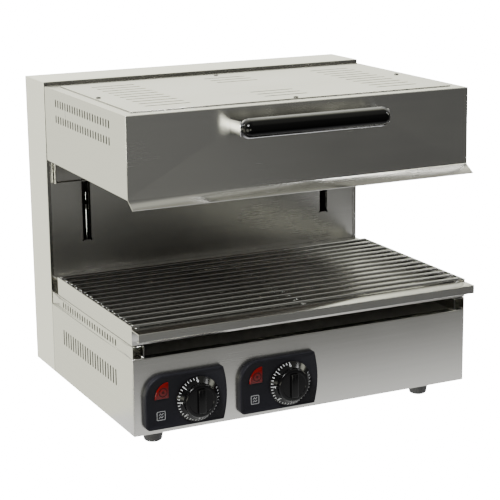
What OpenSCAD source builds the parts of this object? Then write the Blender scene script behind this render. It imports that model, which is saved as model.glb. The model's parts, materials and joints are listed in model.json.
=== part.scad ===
// Countertop cheese melter: a heated hood that rises and falls over a wire grid and a drip pan.
// X runs left to right, Y from the front (negative) to the back, Z up from the bench.

/* [Body] */
// Width of the body over its side sheets
width = 600; // [560:5:760]
// Depth of the rear column
col_depth = 95; // [92:1:130]
// Height of the rear column above the underside of the base
col_height = 504; // [500:2:600]
// Thickness of the body sheet
sheet = 1.5; // [1:0.1:2]
// Width of the return that the column sides fold round to the front
col_return = 6; // [4:1:10]
// Width of the screw flange inside the rear opening
rear_flange = 16; // [14:1:22]
// Play round a plate that drops into a sheet frame
plate_play = 0.5; // [0.3:0.1:1]
// Clearance between parts that slide past each other
slide_gap = 0.3; // [0.2:0.05:0.5]
// Radial clearance of a shaft in its bush
fit_gap = 0.05; // [0.03:0.01:0.09]

/* [Base] */
// Depth of the base in front of the column
base_depth = 366; // [340:2:440]
// Height of the base box
base_height = 123.5; // [118:0.5:150]
// Width of the flange folded inwards round the top of the base
base_flange = 16; // [10:1:18]
// Height of the upturned edge of the bottom plate
tray_edge = 12; // [8:1:20]

/* [Feet] */
// Height of a foot
foot_h = 32; // [20:1:40]
// Diameter of a foot at its top
foot_d = 40; // [34:1:50]
// Diameter of a foot at its tip
foot_tip_d = 30; // [24:1:32]
// Distance of a foot from the side of the body
foot_in_x = 54; // [45:1:70]
// Distance of a foot from the front and from the back
foot_in_y = 57; // [45:1:70]
// Diameter of the foot bolts
foot_bolt_d = 6; // [5:1:8]

/* [Vent slots] */
// Number of slots in a side row
vent_n = 22; // [10:1:24]
// Distance between side slots
vent_pitch = 11.4; // [10:0.2:12]
// Width of a slot
vent_w = 4.5; // [3:0.5:6]
// Distance of the first slot from the column
vent_y0 = 56; // [50:1:60]
// Height of the hood's side slots
hood_vent_h = 13; // [8:1:18]
// Height of the base's side slots
base_vent_h = 27; // [16:1:36]
// Height of the slots in a runner
runner_vent_h = 11; // [8:1:13]

/* [Pan runners] */
// Width of a runner
runner_w = 19; // [16:1:24]
// Height of a runner
runner_h = 21; // [19:1:28]
// Thickness of a runner's wall
runner_t = 1.2; // [1:0.1:1.6]
// Depth of the ledge behind the pan
ledge_depth = 31; // [24:1:36]

/* [Drip pan] */
// Height of the pan's rim above the runners
pan_h = 27.5; // [26:0.5:40]
// Depth of the well
pan_well = 21; // [12:1:22]
// Thickness of the pan's sheet
pan_t = 1.2; // [0.8:0.1:1.5]
// Width of the rim at the sides
pan_rim_side = 6; // [5:0.5:12]
// Width of the rim at the back
pan_rim_back = 5; // [4:0.5:12]
// Width of the rim at the front
pan_rim_front = 4.5; // [4:0.5:12]
// Reach of the front lip
pan_lip = 28; // [18:1:32]
// Drop of the front lip
pan_lip_drop = 14; // [10:1:18]

/* [Grid] */
// Diameter of the grid's rods
rod_d = 6; // [5:0.5:8]
// Number of rods across the pan
rod_n = 14; // [10:1:18]
// Lap of a rod's end on the pan's rim
rod_rest = 3; // [2:0.5:5]
// Clearance of the first and the last rod from the walls of the well
rod_play = 0.6; // [0.4:0.1:1.5]
// Sideways clearance of the cross-bars in the well
grid_play = 2; // [1:0.5:2.5]

/* [Hood] */
// Depth of the hood
hood_depth = 364; // [340:2:420]
// Height of the hood above its lower crease
hood_height = 126; // [116:1:132]
// Distance of the hood's top below the top of the column
hood_below = 6; // [5:1:12]
// Distance of each hood side inside the column side
hood_in = 1; // [0.5:0.5:4]
// Gap between the hood's back plate and the column
hood_gap = 2; // [1.5:0.5:4]
// Reach of the lip under the hood's front
lip_out = 20; // [10:1:24]
// Drop of the lip under the hood's front
lip_drop = 12; // [8:1:20]
// Distance that the back plate hangs below the hood's sides
back_drop = 40; // [20:1:44]
// Depth of the folded edge of the back plate
back_fold = 7; // [5:1:10]
// Distance of the back plate's edge from the hood's side
back_in = 11; // [9:1:13]
// Width of the flanges inside the hood shell
hood_flange = 14; // [12:1:18]
// Travel of the hood downwards
hood_travel = 100; // [60:5:105]

/* [Hood cover] */
// Distance of the cover from the hood's sides
cover_in_x = 19; // [14:1:30]
// Distance of the cover from the hood's front
cover_in_front = 24; // [16:1:30]
// Distance of the cover from the hood's back
cover_in_back = 26; // [16:1:34]
// Lap of the cover on the shell
cover_lap = 16; // [13:1:22]
// Distance of the cover screws from the cover's edge
cover_screw_in = 8; // [6:1:9]
// Length of a slot in the cover
slot_len = 76; // [50:2:90]
// Number of slot rows
slot_rows = 10; // [6:1:10]
// Distance between slot rows
slot_pitch = 25.4; // [20:0.2:26]
// Distance between slot columns
slot_col_pitch = 203; // [170:1:206]
// Number of slots at each end of the middle column
slot_mid_rows = 3; // [1:1:3]

/* [Handle] */
// Length of the grip
grip_len = 254; // [180:2:320]
// Height of the grip
grip_h = 27; // [22:1:34]
// Depth of the grip
grip_t = 16; // [12:1:22]
// Distance of the grip from the hood's front
grip_out = 36; // [30:1:48]
// Distance of the grip's middle below the hood's top
grip_below = 28.5; // [22:0.5:60]
// Thickness of the handle's strap
strap_t = 2.5; // [2:0.5:4]
// Diameter of the handle's spacers
spacer_d = 14; // [12:1:18]
// Diameter of the handle's screws
handle_screw_d = 6; // [5:1:8]

/* [Controls] */
// Width of a control bezel
bezel_w = 138; // [130:1:142]
// Height of a control bezel
bezel_h = 86; // [84:1:100]
// Thickness of a control bezel
bezel_t = 10; // [8:1:14]
// Radius of the bezel's large corner
bezel_big_r = 34; // [20:1:38]
// Radius of the bezel's small corners
bezel_small_r = 8; // [4:1:12]
// Distance of the first bezel from the side of the body
bezel_x = 16; // [10:1:40]
// Height of a bezel above the underside of the base
bezel_z = 9; // [8:1:20]
// Distance between the bezels
bezel_pitch = 161; // [146:1:200]
// Distance of a knob's axis from the bezel's left edge
knob_x = 87; // [84:1:90]
// Height of a knob's axis above the bezel's lower edge
knob_z = 41; // [40:1:43]
// Diameter of the dial skirt
knob_d = 73; // [60:1:74]
// Diameter of the knob's grip
knob_grip_d = 54; // [40:1:56]
// Length of the knob over its dial
knob_len = 20; // [17:1:26]
// Diameter of the control shafts
shaft_d = 6; // [5:1:8]
// Radius of the indicator lens
lens_r = 26; // [18:1:27]

/* [Lift mechanism] */
// Distance of a column slot from the side of the body
slot_in = 69; // [64:1:74]
// Width of a column slot
slot_w = 15; // [13:1:18]
// Height of the column slots' lower ends above the underside of the base
slot_z = 227; // [215:1:230]
// Depth of the flanges folded back beside a column slot
slot_fold = 12; // [8:1:14]
// Thickness of the hood arms
arm_t = 5; // [3:0.5:6]
// Diameter of the guide rods
guide_d = 12; // [10:1:16]
// Distance of a guide rod from the slot beside it
guide_in = 43; // [41:1:80]
// Distance of the guide rods behind the column's front
guide_y = 48; // [46:1:52]
// Diameter of the strut rods
strut_d = 10; // [8:1:12]
// Outer diameter of the strut cylinders
strut_tube_d = 22; // [20:1:24]
// Distance of a strut from the slot beside it
strut_in = 15; // [14:1:17]
// Distance of the struts behind the column's front
strut_y = 45; // [42:1:48]
// Height of the shoulder of a strut rod above the underside of the base
strut_end_z = 272; // [268:1:278]

/* [Heating] */
// Diameter of the heating tubes
tube_d = 8; // [6:0.5:10]
// Number of passes of a heating tube
tube_n = 6; // [2:2:6]
// Height of the heating tubes above the hood's crease
tube_z = 14; // [13:1:20]
// Height of the reflector
reflector_h = 44; // [36:1:52]
// Thickness of the reflector's sheet
reflector_t = 1; // [0.8:0.1:1.2]
// Thickness of the insulation blanket
blanket_t = 25; // [15:1:30]

/* [Rear fittings] */
// Distance of the cable gland from the side of the body
gland_in = 100; // [60:5:150]
// Height of the cable gland above the underside of the base
gland_up = 45; // [40:1:60]
// Reach of the cable gland behind the column
gland_out = 16; // [12:1:24]
// Diameter of the cable gland
gland_d = 24; // [20:1:28]
// Bore of the cable gland
gland_bore = 9; // [7:0.5:10]

/* [Hidden] */
$fn = 48;
e = 1;  // reach of a cutter past the face that it opens

hw = width / 2;
z_base = foot_h;
z_deck = z_base + base_height;
z_col = z_base + col_height;
y_front = -base_depth;
z_runner = z_deck + runner_h;
z_rim = z_runner + pan_h;
runner_in = 1;

hhw = hw - hood_in;
z_hood = z_col - hood_below;
z_crease = z_hood - hood_height;
y_hood = -hood_depth;
y_back = -hood_gap;
z_back = z_crease - back_drop;

y_strap = y_hood - grip_out;
y_grip = y_strap - grip_t;
z_grip = z_hood - grip_below;
strap_h = grip_h + 4;
strap_leg_h = grip_h - 5;
strap_half = grip_len / 2 + strap_t;
spacer_x = grip_len / 2 - spacer_d / 2 - 1;

front_reach = -y_grip;
back_reach = col_depth + gland_out;
y_mid = (back_reach - front_reach) / 2;

y_bezel = y_front - bezel_t;
y_knob = y_bezel - 2 * slide_gap;
boss_d = shaft_d + 6;

pan_front = y_front;
pan_back = -ledge_depth - 1;
pan_half = hw - 0.5;
y_lip = pan_front - pan_lip;
well_half = pan_half - pan_rim_side;
well_front = pan_front + pan_rim_front;
well_back = pan_back - pan_rim_back;
seam = 0.1;  // open seam between the pan's sheets
z_rod = z_rim + slide_gap + rod_d / 2;
rod_front = well_front + rod_play + rod_d / 2;
rod_back = well_back - rod_play - rod_d / 2;
rod_pitch = (rod_back - rod_front) / (rod_n - 1);
rod_half = well_half + rod_rest;
cross_x = well_half - grid_play - rod_d / 2;

slot_x = hw - slot_in;
guide_x = slot_x - guide_in;
strut_x = slot_x - strut_in;
bush_d = guide_d + 7;
bush_h = 28;
housing = bush_d + 9;
carriage_t = 3;
carriage_h = 85;
y_plate = guide_y + housing / 2;
z_carriage = z_hood - 28;
z_car_low = z_carriage - carriage_h;
bar_t = 3;
z_top_bar = z_carriage + 22;
bar_front = 18;
bar_back = 20;
collar_h = 12;
collar_d = guide_d + 14;
stop_top = z_car_low - hood_travel - slide_gap;

z_slot0 = z_base + slot_z;
z_slot1 = z_carriage + 6;
z_arm0 = z_slot0 + hood_travel + 8;

z_shoulder = z_base + strut_end_z;
ring_h = 9;
nut_h = 7;
stud_d = 6;
lug_w = 13;
z_lug = z_shoulder + ring_h + nut_h + 15;
low_play = 4;  // gap left under what comes down with the hood
z_low_bar = z_lug - hood_travel - low_play - bar_t;
eye_d = 18;
eye_t = 10;
pin_d = 8;
cheek_t = 3;
cheek_play = 0.5;
z_eye = z_base + 20;
z_tube = z_eye + eye_d / 2 + 2;
z_tube_top = z_shoulder - hood_travel - low_play;
tube_wall = 1.5;
tube_floor = 4;
tube_cap = 10;
ring_d = strut_d + 3;

reflector_in = 30;
reflector_in_back = 40;
refl_half = hhw - reflector_in;
refl_front = y_hood + reflector_in;
refl_back = y_back - reflector_in_back;
z_refl_rim = z_crease + sheet;
z_refl = z_crease + reflector_h;
tube_in_side = 16;
tube_in_mid = 8;  // gap from the middle, on top of half a pass
tube_in_end = 14;
pass_pitch = (refl_half - tube_in_side - tube_in_mid) / tube_n;
tube_x0 = refl_half - tube_in_side;
z_heat = z_crease + tube_z;
heat_front = refl_front + tube_in_end + pass_pitch / 2;
heat_back = refl_back - tube_in_end - pass_pitch / 2;

screw_d = 4;
head_d = 8;
head_h = 2.2;
screw_len = 8;
bolt_room = 8;  // height of a foot bolt's seat in its foot
feet_y = [y_front + foot_in_y, col_depth - foot_in_y];
rear_screw_z = [z_base + 10, z_base + col_height / 2, z_col - 10];
gland_x = hw - gland_in;
gland_z = z_base + gland_up;

// ---- shared shapes ----

// A box from its lowest to its highest corner.
module block(low, high) {
    translate(low) cube(high - low);
}

// A block on the right and its mirror image on the left.
module both_sides() {
    children();
    mirror([1, 0, 0]) children();
}

// A flat outline, drawn in Y and Z, drawn out along X from x0 to x1.
module along_x(x0, x1) {
    translate([x0, 0, 0]) rotate([90, 0, 90]) linear_extrude(x1 - x0) children();
}

// A flat outline, drawn in X and Z, drawn out towards the front from y0 to y1.
module towards_front(y0, y1) {
    translate([0, y0, 0]) rotate([90, 0, 0]) linear_extrude(y0 - y1) children();
}

// A row of upright slots through a side wall, with round ends.
module side_slots(z, h, depth) {
    for (i = [0 : vent_n - 1])
        translate([0, -vent_y0 - i * vent_pitch, z]) {
            block([-depth, -vent_w / 2, -h / 2 + vent_w / 2], [depth, vent_w / 2, h / 2 - vent_w / 2]);
            for (s = [-1, 1])
                translate([0, 0, s * (h - vent_w) / 2]) rotate([0, 90, 0])
                    cylinder(d = vent_w, h = 2 * depth, center = true);
        }
}

// A screw with a domed head: its head stands on Z = 0, its shank runs down.
module pan_screw(d, head, head_height, length) {
    rotate_extrude()
        intersection() {
            union() {
                translate([0, -length]) square([d / 2, length + e / 2]);
                square([head / 2, head_height * 0.45]);
                translate([0, head_height * 0.45]) scale_dome(head / 2, head_height * 0.55);
            }
            translate([0, -length]) square([head, length + head_height]);
        }
}

// The upper part of a circle whose chord is 2 * r wide and whose crown is h high.
module scale_dome(r, h) {
    big = (r * r + h * h) / (2 * h);
    intersection() {
        translate([0, h - big]) circle(r = big, $fn = 96);
        square([r, h]);
    }
}

// ---- column ----

module rear_screw_spots() {
    for (x = [-1, 1], z = rear_screw_z)
        translate([x * (hw - rear_flange / 2), col_depth, z]) rotate([-90, 0, 0]) children();
}

module column_shell() {
    color("silver") {
        difference() {
            union() {
                difference() {
                    block([-hw, 0, z_base], [hw, col_depth, z_col]);
                    block([-hw + sheet, -e, z_base - e], [hw - sheet, col_depth + e, z_col - sheet]);
                }
                both_sides() {
                    block([hw - col_return, 0, z_base + 2 * sheet], [hw - sheet / 2, sheet, z_col]);
                    block([hw - rear_flange, col_depth - 2 * sheet, z_base + sheet],
                        [hw - sheet / 2, col_depth - sheet, z_col - sheet / 2]);
                }
                block([-hw, 0, z_col - col_return], [hw, sheet, z_col]);
                block([-hw + sheet / 2, col_depth - 2 * sheet, z_col - rear_flange],
                    [hw - sheet / 2, col_depth - sheet, z_col - sheet / 2]);
            }
            rear_screw_spots() translate([0, 0, -rear_flange])
                cylinder(d = screw_d + 2 * fit_gap, h = rear_flange + e);
        }
    }
}

module column_front() {
    color("gray") {
        difference() {
            block([-hw + sheet, sheet, z_deck - rear_flange], [hw - sheet, 2 * sheet, z_col - sheet]);
            both_sides() translate([slot_x, 0, 0]) {
                block([-slot_w / 2, 0, z_slot0], [slot_w / 2, 3 * sheet, z_slot1]);
                for (s = [-1, 1]) translate([s * slot_w / 2, 3 * sheet, z_slot0]) rotate([90, 0, 0])
                    cylinder(d = 2.5 * sheet, h = 3 * sheet);
            }
        }
        both_sides() for (s = [-1, 1]) translate([slot_x + s * (slot_w + sheet) / 2, 0, 0])
            block([-sheet / 2, 2 * sheet - 0.1, z_slot0 + 3 * sheet],
                [sheet / 2, slot_fold, z_slot1 - sheet]);
    }
}

module rear_cover() {
    rear_vents = 18;
    vent_low = z_base + 110;
    vent_high = z_col - 60;
    color("silver")
        difference() {
            block([-hw + sheet + plate_play, col_depth - sheet, z_base + plate_play],
                [hw - sheet - plate_play, col_depth, z_col - sheet - plate_play]);
            rear_screw_spots() translate([0, 0, -2 * sheet])
                cylinder(d = screw_d + 2 * fit_gap, h = 3 * sheet);
            for (z = [vent_low, vent_high], i = [0 : rear_vents - 1])
                translate([(i - (rear_vents - 1) / 2) * 2 * vent_pitch, 0, z])
                    towards_front(col_depth + e, col_depth - 2 * sheet) {
                        square([vent_w, base_vent_h - vent_w], center = true);
                        for (s = [-1, 1]) translate([0, s * (base_vent_h - vent_w) / 2]) circle(d = vent_w);
                    }
            translate([gland_x, col_depth + e, gland_z]) rotate([90, 0, 0])
                cylinder(d = gland_d - 8, h = 3 * sheet);
        }
}

module rear_screws() {
    color("gainsboro") rear_screw_spots() pan_screw(screw_d, head_d, head_h, screw_len);
}

module cable_gland() {
    neck_r = gland_d / 2 - 4;
    cap_r = gland_d / 2 - 2;
    neck_in = 14;
    nut_t = 5;
    color("dimgray")
        translate([gland_x, col_depth, gland_z]) rotate([-90, 0, 0])
            difference() {
                union() {
                    cylinder(d = gland_d, h = nut_t, $fn = 6);
                    rotate_extrude()
                        polygon([[0, -neck_in], [neck_r - fit_gap, -neck_in], [neck_r - fit_gap, 0],
                            [cap_r, 0], [cap_r, gland_out - nut_t], [cap_r - 3, gland_out], [0, gland_out]]);
                    translate([0, 0, -sheet - nut_t]) cylinder(d = gland_d, h = nut_t, $fn = 6);
                }
                translate([0, 0, -neck_in - e]) cylinder(d = gland_bore, h = gland_out + neck_in + 2 * e);
            }
}

module terminal_block() {
    ways = 5;
    pitch = 12;
    end_wall = 2;
    body = [ways * pitch + 2 * end_wall, 24, 20];
    wire_d = 5;
    wire_z = 9;
    from_gland = 90;
    from_front = 20;
    color("ivory")
        translate([gland_x - from_gland, from_front, z_base + sheet])
            difference() {
                cube(body);
                for (i = [0 : ways - 1]) translate([end_wall + (i + 0.5) * pitch, 0, wire_z]) {
                    translate([0, -e, 0]) rotate([-90, 0, 0]) cylinder(d = wire_d, h = body.y + 2 * e);
                    translate([0, body.y / 2, 0]) cylinder(d = screw_d, h = body.z);
                }
            }
}

// ---- base ----

module control_spot(i) {
    translate([-hw + bezel_x + i * bezel_pitch, 0, z_base + bezel_z]) children();
}

module control_spots() {
    for (i = [0, 1]) control_spot(i) children();
}

module base_shell() {
    color("silver")
        difference() {
            block([-hw, y_front, z_base], [hw, 0, z_deck]);
            block([-hw + sheet, y_front + sheet, z_base - e], [hw - sheet, e, z_deck - sheet]);
            block([-hw + base_flange, y_front + base_flange, z_deck - 2 * sheet],
                [hw - base_flange, e, z_deck + e]);
            both_sides() translate([hw, 0, 0])
                side_slots(z_base + base_height * 0.62, base_vent_h, 3 * sheet);
            control_spots() {
                translate([knob_x, y_front + 2 * sheet, knob_z]) rotate([90, 0, 0])
                    cylinder(d = boss_d + 2 * fit_gap, h = 3 * sheet);
                translate([lens_x, y_front + 2 * sheet, lens_z]) translate([-lens_r * 0.4, 0, lens_r * 0.4])
                    rotate([90, 0, 0]) cylinder(d = lamp_d + 2 * fit_gap, h = 3 * sheet);
            }
        }
}

module base_plate() {
    inner = hw - sheet;
    y0 = y_front + sheet;
    y1 = col_depth - sheet;
    cooling = 9;
    cooling_len = 60;
    color("darkgray")
        difference() {
            union() {
                block([-inner, y0, z_base], [inner, y1 - sheet, z_base + sheet]);
                both_sides() block([inner - sheet, y0, z_base], [inner, -plate_play, z_base + tray_edge]);
                block([-inner, y0, z_base], [inner, y0 + sheet, z_base + tray_edge]);
            }
            for (x = [-1, 1], y = feet_y) translate([x * (hw - foot_in_x), y, z_base - e])
                cylinder(d = foot_bolt_d + 2 * fit_gap, h = sheet + 2 * e);
            for (i = [0 : cooling - 1])
                translate([(i - (cooling - 1) / 2) * 2 * vent_pitch, y_front / 2, z_base - e])
                    linear_extrude(sheet + 2 * e) {
                        square([vent_w, cooling_len], center = true);
                        for (s = [-1, 1]) translate([0, s * cooling_len / 2]) circle(d = vent_w);
                    }
        }
}

module deck() {
    inner = hw - sheet;
    color("darkgray") {
        block([-inner, y_front + sheet, z_deck - 2 * sheet], [inner, 0, z_deck - sheet]);
        block([-hw + col_return + plate_play, -sheet, z_deck - 2 * sheet],
            [hw - col_return - plate_play, sheet, z_deck - sheet]);
    }
}

// Folded step behind the pan: its top carries on the pan's rim to the column.
module ledge() {
    cheek = hw - runner_in - runner_w - 2;
    color("silver") {
        block([-hw + 2, -ledge_depth, z_rim - sheet], [hw - 2, 0, z_rim]);
        block([-cheek, -ledge_depth, z_deck - sheet], [cheek, -ledge_depth + sheet, z_rim - sheet / 2]);
        both_sides() block([cheek - sheet, -ledge_depth, z_deck - sheet], [cheek, 0, z_rim - sheet / 2]);
    }
}

module runner(s) {
    x1 = hw - runner_in;
    color("silver")
        mirror([s < 0 ? 1 : 0, 0, 0])
            difference() {
                block([x1 - runner_w, y_front, z_deck], [x1, 0, z_runner]);
                block([x1 - runner_w + runner_t, y_front - e, z_deck + runner_t],
                    [x1 - runner_t, e, z_runner - runner_t]);
                translate([x1, 0, 0]) side_slots(z_deck + runner_h * 0.46, runner_vent_h, runner_w / 2);
            }
}

module feet() {
    tip_r = foot_tip_d / 2;
    round_r = 5;
    side = [for (a = [-90 : 15 : 0]) [tip_r - round_r + round_r * cos(a), round_r + round_r * sin(a)]];
    color("dimgray")
        for (x = [-1, 1], y = feet_y) translate([x * (hw - foot_in_x), y, 0])
            rotate_extrude()
                polygon(concat([[foot_bolt_d, 0]], side,
                    [[foot_d / 2 - 1, foot_h - 5], [foot_d / 2, foot_h - 3], [foot_d / 2, foot_h],
                        [foot_bolt_d / 2 + fit_gap, foot_h], [foot_bolt_d / 2 + fit_gap, bolt_room],
                        [foot_bolt_d, bolt_room]]));
}

module foot_bolts() {
    hex_d = foot_bolt_d * 1.8;
    bolt_head = foot_bolt_d * 0.65;
    bolt_nut = foot_bolt_d * 0.8;
    z_nut = z_base + sheet;
    z_shank = bolt_room - bolt_head / 2;
    color("gainsboro")
        for (x = [-1, 1], y = feet_y) translate([x * (hw - foot_in_x), y, 0]) {
            translate([0, 0, bolt_room - bolt_head]) cylinder(d = hex_d, h = bolt_head, $fn = 6);
            translate([0, 0, z_shank]) cylinder(d = foot_bolt_d, h = z_nut + bolt_nut + 2 - z_shank);
            translate([0, 0, z_nut]) cylinder(d = hex_d, h = bolt_nut, $fn = 6);
        }
}

// ---- controls ----

lens_x = 38.5;
lens_z = knob_z + 8;
lamp_d = 10;
lens_proud = 0.6;
lens_t = 3;

// Rectangle with one large corner, three small ones and a right edge that bows out.
module bezel_outline(in) {
    w = bezel_w - 2 * in;
    h = bezel_h - 2 * in;
    big = bezel_big_r - in;
    small = bezel_small_r - in;
    bow = 6;
    bow_r = (h * h / 4 + bow * bow) / (2 * bow);
    translate([in, in])
        intersection() {
            union() {
                translate([0, small]) square([big, h - small - big]);
                translate([big, 0]) square([w - big - small, h]);
                translate([small, 0]) square([big, h - big]);
                translate([w - 2 * small, small]) square([2 * small, h - 2 * small]);
                translate([small, small]) circle(r = small);
                translate([big, h - big]) circle(r = big, $fn = 96);
                translate([w - small, small]) circle(r = small);
                translate([w - small, h - small]) circle(r = small);
            }
            translate([w - bow_r, h / 2]) circle(r = bow_r, $fn = 180);
        }
}

// Quarter disc with its corner at the lower right.
module lens_outline(r) {
    intersection() {
        circle(r = r, $fn = 96);
        translate([-r, 0]) square([r, r]);
    }
}

module bezel(i) {
    edge = 2;
    color([0.12, 0.12, 0.13])
        control_spot(i)
            difference() {
                union() {
                    towards_front(y_front, y_bezel + edge) bezel_outline(0);
                    towards_front(y_front, y_bezel + edge / 2) bezel_outline(edge * 0.3);
                    towards_front(y_front, y_bezel) bezel_outline(edge);
                }
                translate([knob_x, y_front + e, knob_z]) rotate([90, 0, 0])
                    cylinder(d = boss_d + 2 * fit_gap, h = bezel_t + 2 * e);
                translate([lens_x, 0, lens_z]) {
                    towards_front(y_bezel + lens_t, y_bezel - e) lens_outline(lens_r + fit_gap);
                    translate([-lens_r * 0.4, y_front + e, lens_r * 0.4]) rotate([90, 0, 0])
                        cylinder(d = lamp_d + 2 * fit_gap, h = bezel_t);
                }
            }
}

module lens(i) {
    lamp_back = 24;
    color([0.7, 0.05, 0.04])
        control_spot(i) translate([lens_x, 0, lens_z]) {
            translate([-fit_gap, 0, fit_gap])
                towards_front(y_bezel + lens_t, y_bezel - lens_proud) lens_outline(lens_r - 2 * fit_gap);
            translate([-lens_r * 0.4, y_front + lamp_back, lens_r * 0.4]) rotate([90, 0, 0])
                cylinder(d = lamp_d, h = lamp_back + bezel_t - lens_t / 2);
        }
}

// Energy regulator: a moulded body behind the sheet, a threaded neck and the shaft's bore.
module regulator(i) {
    body_w = 46;
    body_h = 42;
    body_t = 30;
    tabs = 4;
    color([0.85, 0.83, 0.75])
        control_spot(i) translate([knob_x, y_front, knob_z])
            difference() {
                union() {
                    block([-body_w / 2, sheet, -body_h * 0.45], [body_w / 2, sheet + body_t, body_h * 0.55]);
                    for (k = [0 : tabs - 1])
                        block([(k - (tabs - 1) / 2) * 10 - 3.2, sheet + body_t - e, -0.5],
                            [(k - (tabs - 1) / 2) * 10 + 3.2, sheet + body_t + 9, 0.5]);
                    translate([0, sheet + e, 0]) rotate([90, 0, 0])
                        cylinder(d = boss_d, h = sheet + e + bezel_t - 1);
                }
                translate([0, sheet + 22, 0]) rotate([90, 0, 0])
                    cylinder(d = shaft_d + 2 * fit_gap, h = 22 + sheet + bezel_t + e);
            }
}

shaft_in = 20;
shaft_grip = 14;
shaft_flat = 0.3;  // the flat's distance from the axis, as a share of the diameter

module shaft_section(grow) {
    intersection() {
        circle(d = shaft_d + 2 * grow);
        translate([-shaft_d, -shaft_d]) square([2 * shaft_d, shaft_d * (1 + shaft_flat) + grow]);
    }
}

module control_shaft(i) {
    color("gainsboro")
        control_spot(i) translate([knob_x, 0, knob_z]) {
            towards_front(y_front + shaft_in, y_knob - 1) circle(d = shaft_d);
            towards_front(y_knob - 0.5, y_knob - shaft_grip) shaft_section(0);
        }
}

// Turned knob with a coned dial skirt, a round grip and a raised finger bar.
module knob(i) {
    r = knob_grip_d / 2;
    skirt_edge = 1.6;
    cone_h = 8;
    round_r = 3;
    face = knob_len - 4;
    rim = [for (a = [0 : 15 : 90]) [r - round_r + round_r * cos(a), face - round_r + round_r * sin(a)]];
    bar_w = 13;
    color([0.05, 0.05, 0.05])
        control_spot(i) translate([knob_x, y_knob, knob_z]) rotate([90, 0, 0])
            difference() {
                union() {
                    rotate_extrude($fn = 96)
                        polygon(concat([[0, 0], [knob_d / 2, 0], [knob_d / 2, skirt_edge], [r + 0.6, cone_h]],
                            rim, [[0, face]]));
                    intersection() {
                        linear_extrude(knob_len)
                            square([bar_w, 2 * r], center = true);
                        rotate_extrude($fn = 96)
                            polygon([[0, 0], [r - 2, 0], [r - 2, face], [r - 5, knob_len], [0, knob_len]]);
                    }
                }
                translate([0, 0, -e]) cylinder(d = boss_d + 2, h = 2 + e);
                translate([0, 0, -e]) linear_extrude(shaft_grip + e + 0.5) shaft_section(fit_gap);
            }
}

// ---- lift mechanism ----

module crossbar(z, fold) {
    y0 = guide_y - bar_front;
    y1 = guide_y + bar_back;
    difference() {
        union() {
            block([-hw + sheet, y0, z], [hw - sheet, y1, z + bar_t]);
            block([-hw + sheet, y1 - bar_t, min(z, z + fold)], [hw - sheet, y1, max(z + bar_t, z + fold)]);
        }
        both_sides() {
            translate([guide_x, guide_y, z - e]) cylinder(d = guide_d + 2 * fit_gap, h = bar_t + 2 * e);
            if (fold < 0) translate([strut_x, strut_y, z - e]) cylinder(d = ring_d + 3, h = bar_t + 2 * e);
        }
    }
}

module lower_crossbar() {
    fold = 22;
    color("slategray") crossbar(z_low_bar, -fold);
}

module upper_crossbar() {
    color("slategray") crossbar(z_top_bar, z_col - sheet - z_top_bar);
}

module guide_rod(s) {
    below = 12;
    color("lightsteelblue")
        translate([s * guide_x, guide_y, z_low_bar - below])
            cylinder(d = guide_d, h = z_top_bar + bar_t + 3 - z_low_bar + below);
}

module ring_on_rod(z, h, d, bore) {
    both_sides() translate([guide_x, guide_y, z])
        difference() {
            cylinder(d = d, h = h);
            translate([0, 0, -e]) cylinder(d = bore, h = h + 2 * e);
        }
}

module rod_collars() {
    color("dimgray") {
        ring_on_rod(z_low_bar + bar_t, collar_h, collar_d, guide_d + 2 * fit_gap);
        ring_on_rod(z_top_bar - collar_h, collar_h, collar_d, guide_d + 2 * fit_gap);
    }
}

module stop_sleeves() {
    color("black")
        ring_on_rod(z_low_bar + bar_t + collar_h, stop_top - z_low_bar - bar_t - collar_h,
            guide_d + 6, guide_d + 4 * fit_gap);
}

// Gas strut cylinder: a tube closed by a guide cap above and an eye below.
module strut_cylinder(s) {
    bore_h = z_tube_top - z_tube - tube_floor - tube_cap;
    color([0.1, 0.1, 0.1])
        translate([s * strut_x, strut_y, 0])
            difference() {
                union() {
                    translate([0, 0, z_tube]) cylinder(d = strut_tube_d, h = z_tube_top - z_tube);
                    translate([-eye_t / 2, 0, z_eye]) rotate([0, 90, 0]) cylinder(d = eye_d, h = eye_t);
                    block([-eye_t / 2, -eye_t / 2, z_eye], [eye_t / 2, eye_t / 2, z_tube + e]);
                }
                translate([0, 0, z_tube + tube_floor])
                    cylinder(d = strut_tube_d - 2 * tube_wall, h = bore_h);
                translate([0, 0, z_tube + tube_floor + e])
                    cylinder(d = strut_d + 2 * slide_gap, h = z_tube_top - z_tube);
                translate([-eye_t, 0, z_eye]) rotate([0, 90, 0])
                    cylinder(d = pin_d + 2 * fit_gap, h = 2 * eye_t);
            }
}

module strut_anchors() {
    foot_half = 14;
    cheek_half = 9;
    cheek_x = eye_t / 2 + cheek_play;
    z0 = z_base + sheet;
    color("slategray")
        for (s = [-1, 1]) translate([s * strut_x, strut_y, 0]) {
            block([-cheek_x - cheek_t, -foot_half, z0], [cheek_x + cheek_t, foot_half, z0 + cheek_t]);
            for (c = [-1, 1]) translate([c * (cheek_x + cheek_t / 2), 0, 0])
                difference() {
                    union() {
                        block([-cheek_t / 2, -cheek_half, z0 + cheek_t / 2],
                            [cheek_t / 2, cheek_half, z_eye]);
                        translate([-cheek_t / 2, 0, z_eye]) rotate([0, 90, 0])
                            cylinder(r = cheek_half, h = cheek_t);
                    }
                    translate([-cheek_t, 0, z_eye]) rotate([0, 90, 0])
                        cylinder(d = pin_d + 2 * fit_gap, h = 2 * cheek_t);
                }
        }
}

module strut_pins() {
    half = eye_t / 2 + cheek_play + cheek_t + 2;
    color("gainsboro")
        for (s = [-1, 1]) translate([s * strut_x, strut_y, z_eye]) rotate([0, 90, 0]) {
            cylinder(d = pin_d, h = 2 * half, center = true);
            translate([0, 0, half - 1.5]) cylinder(d = pin_d + 4, h = 1.5);
        }
}

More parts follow.
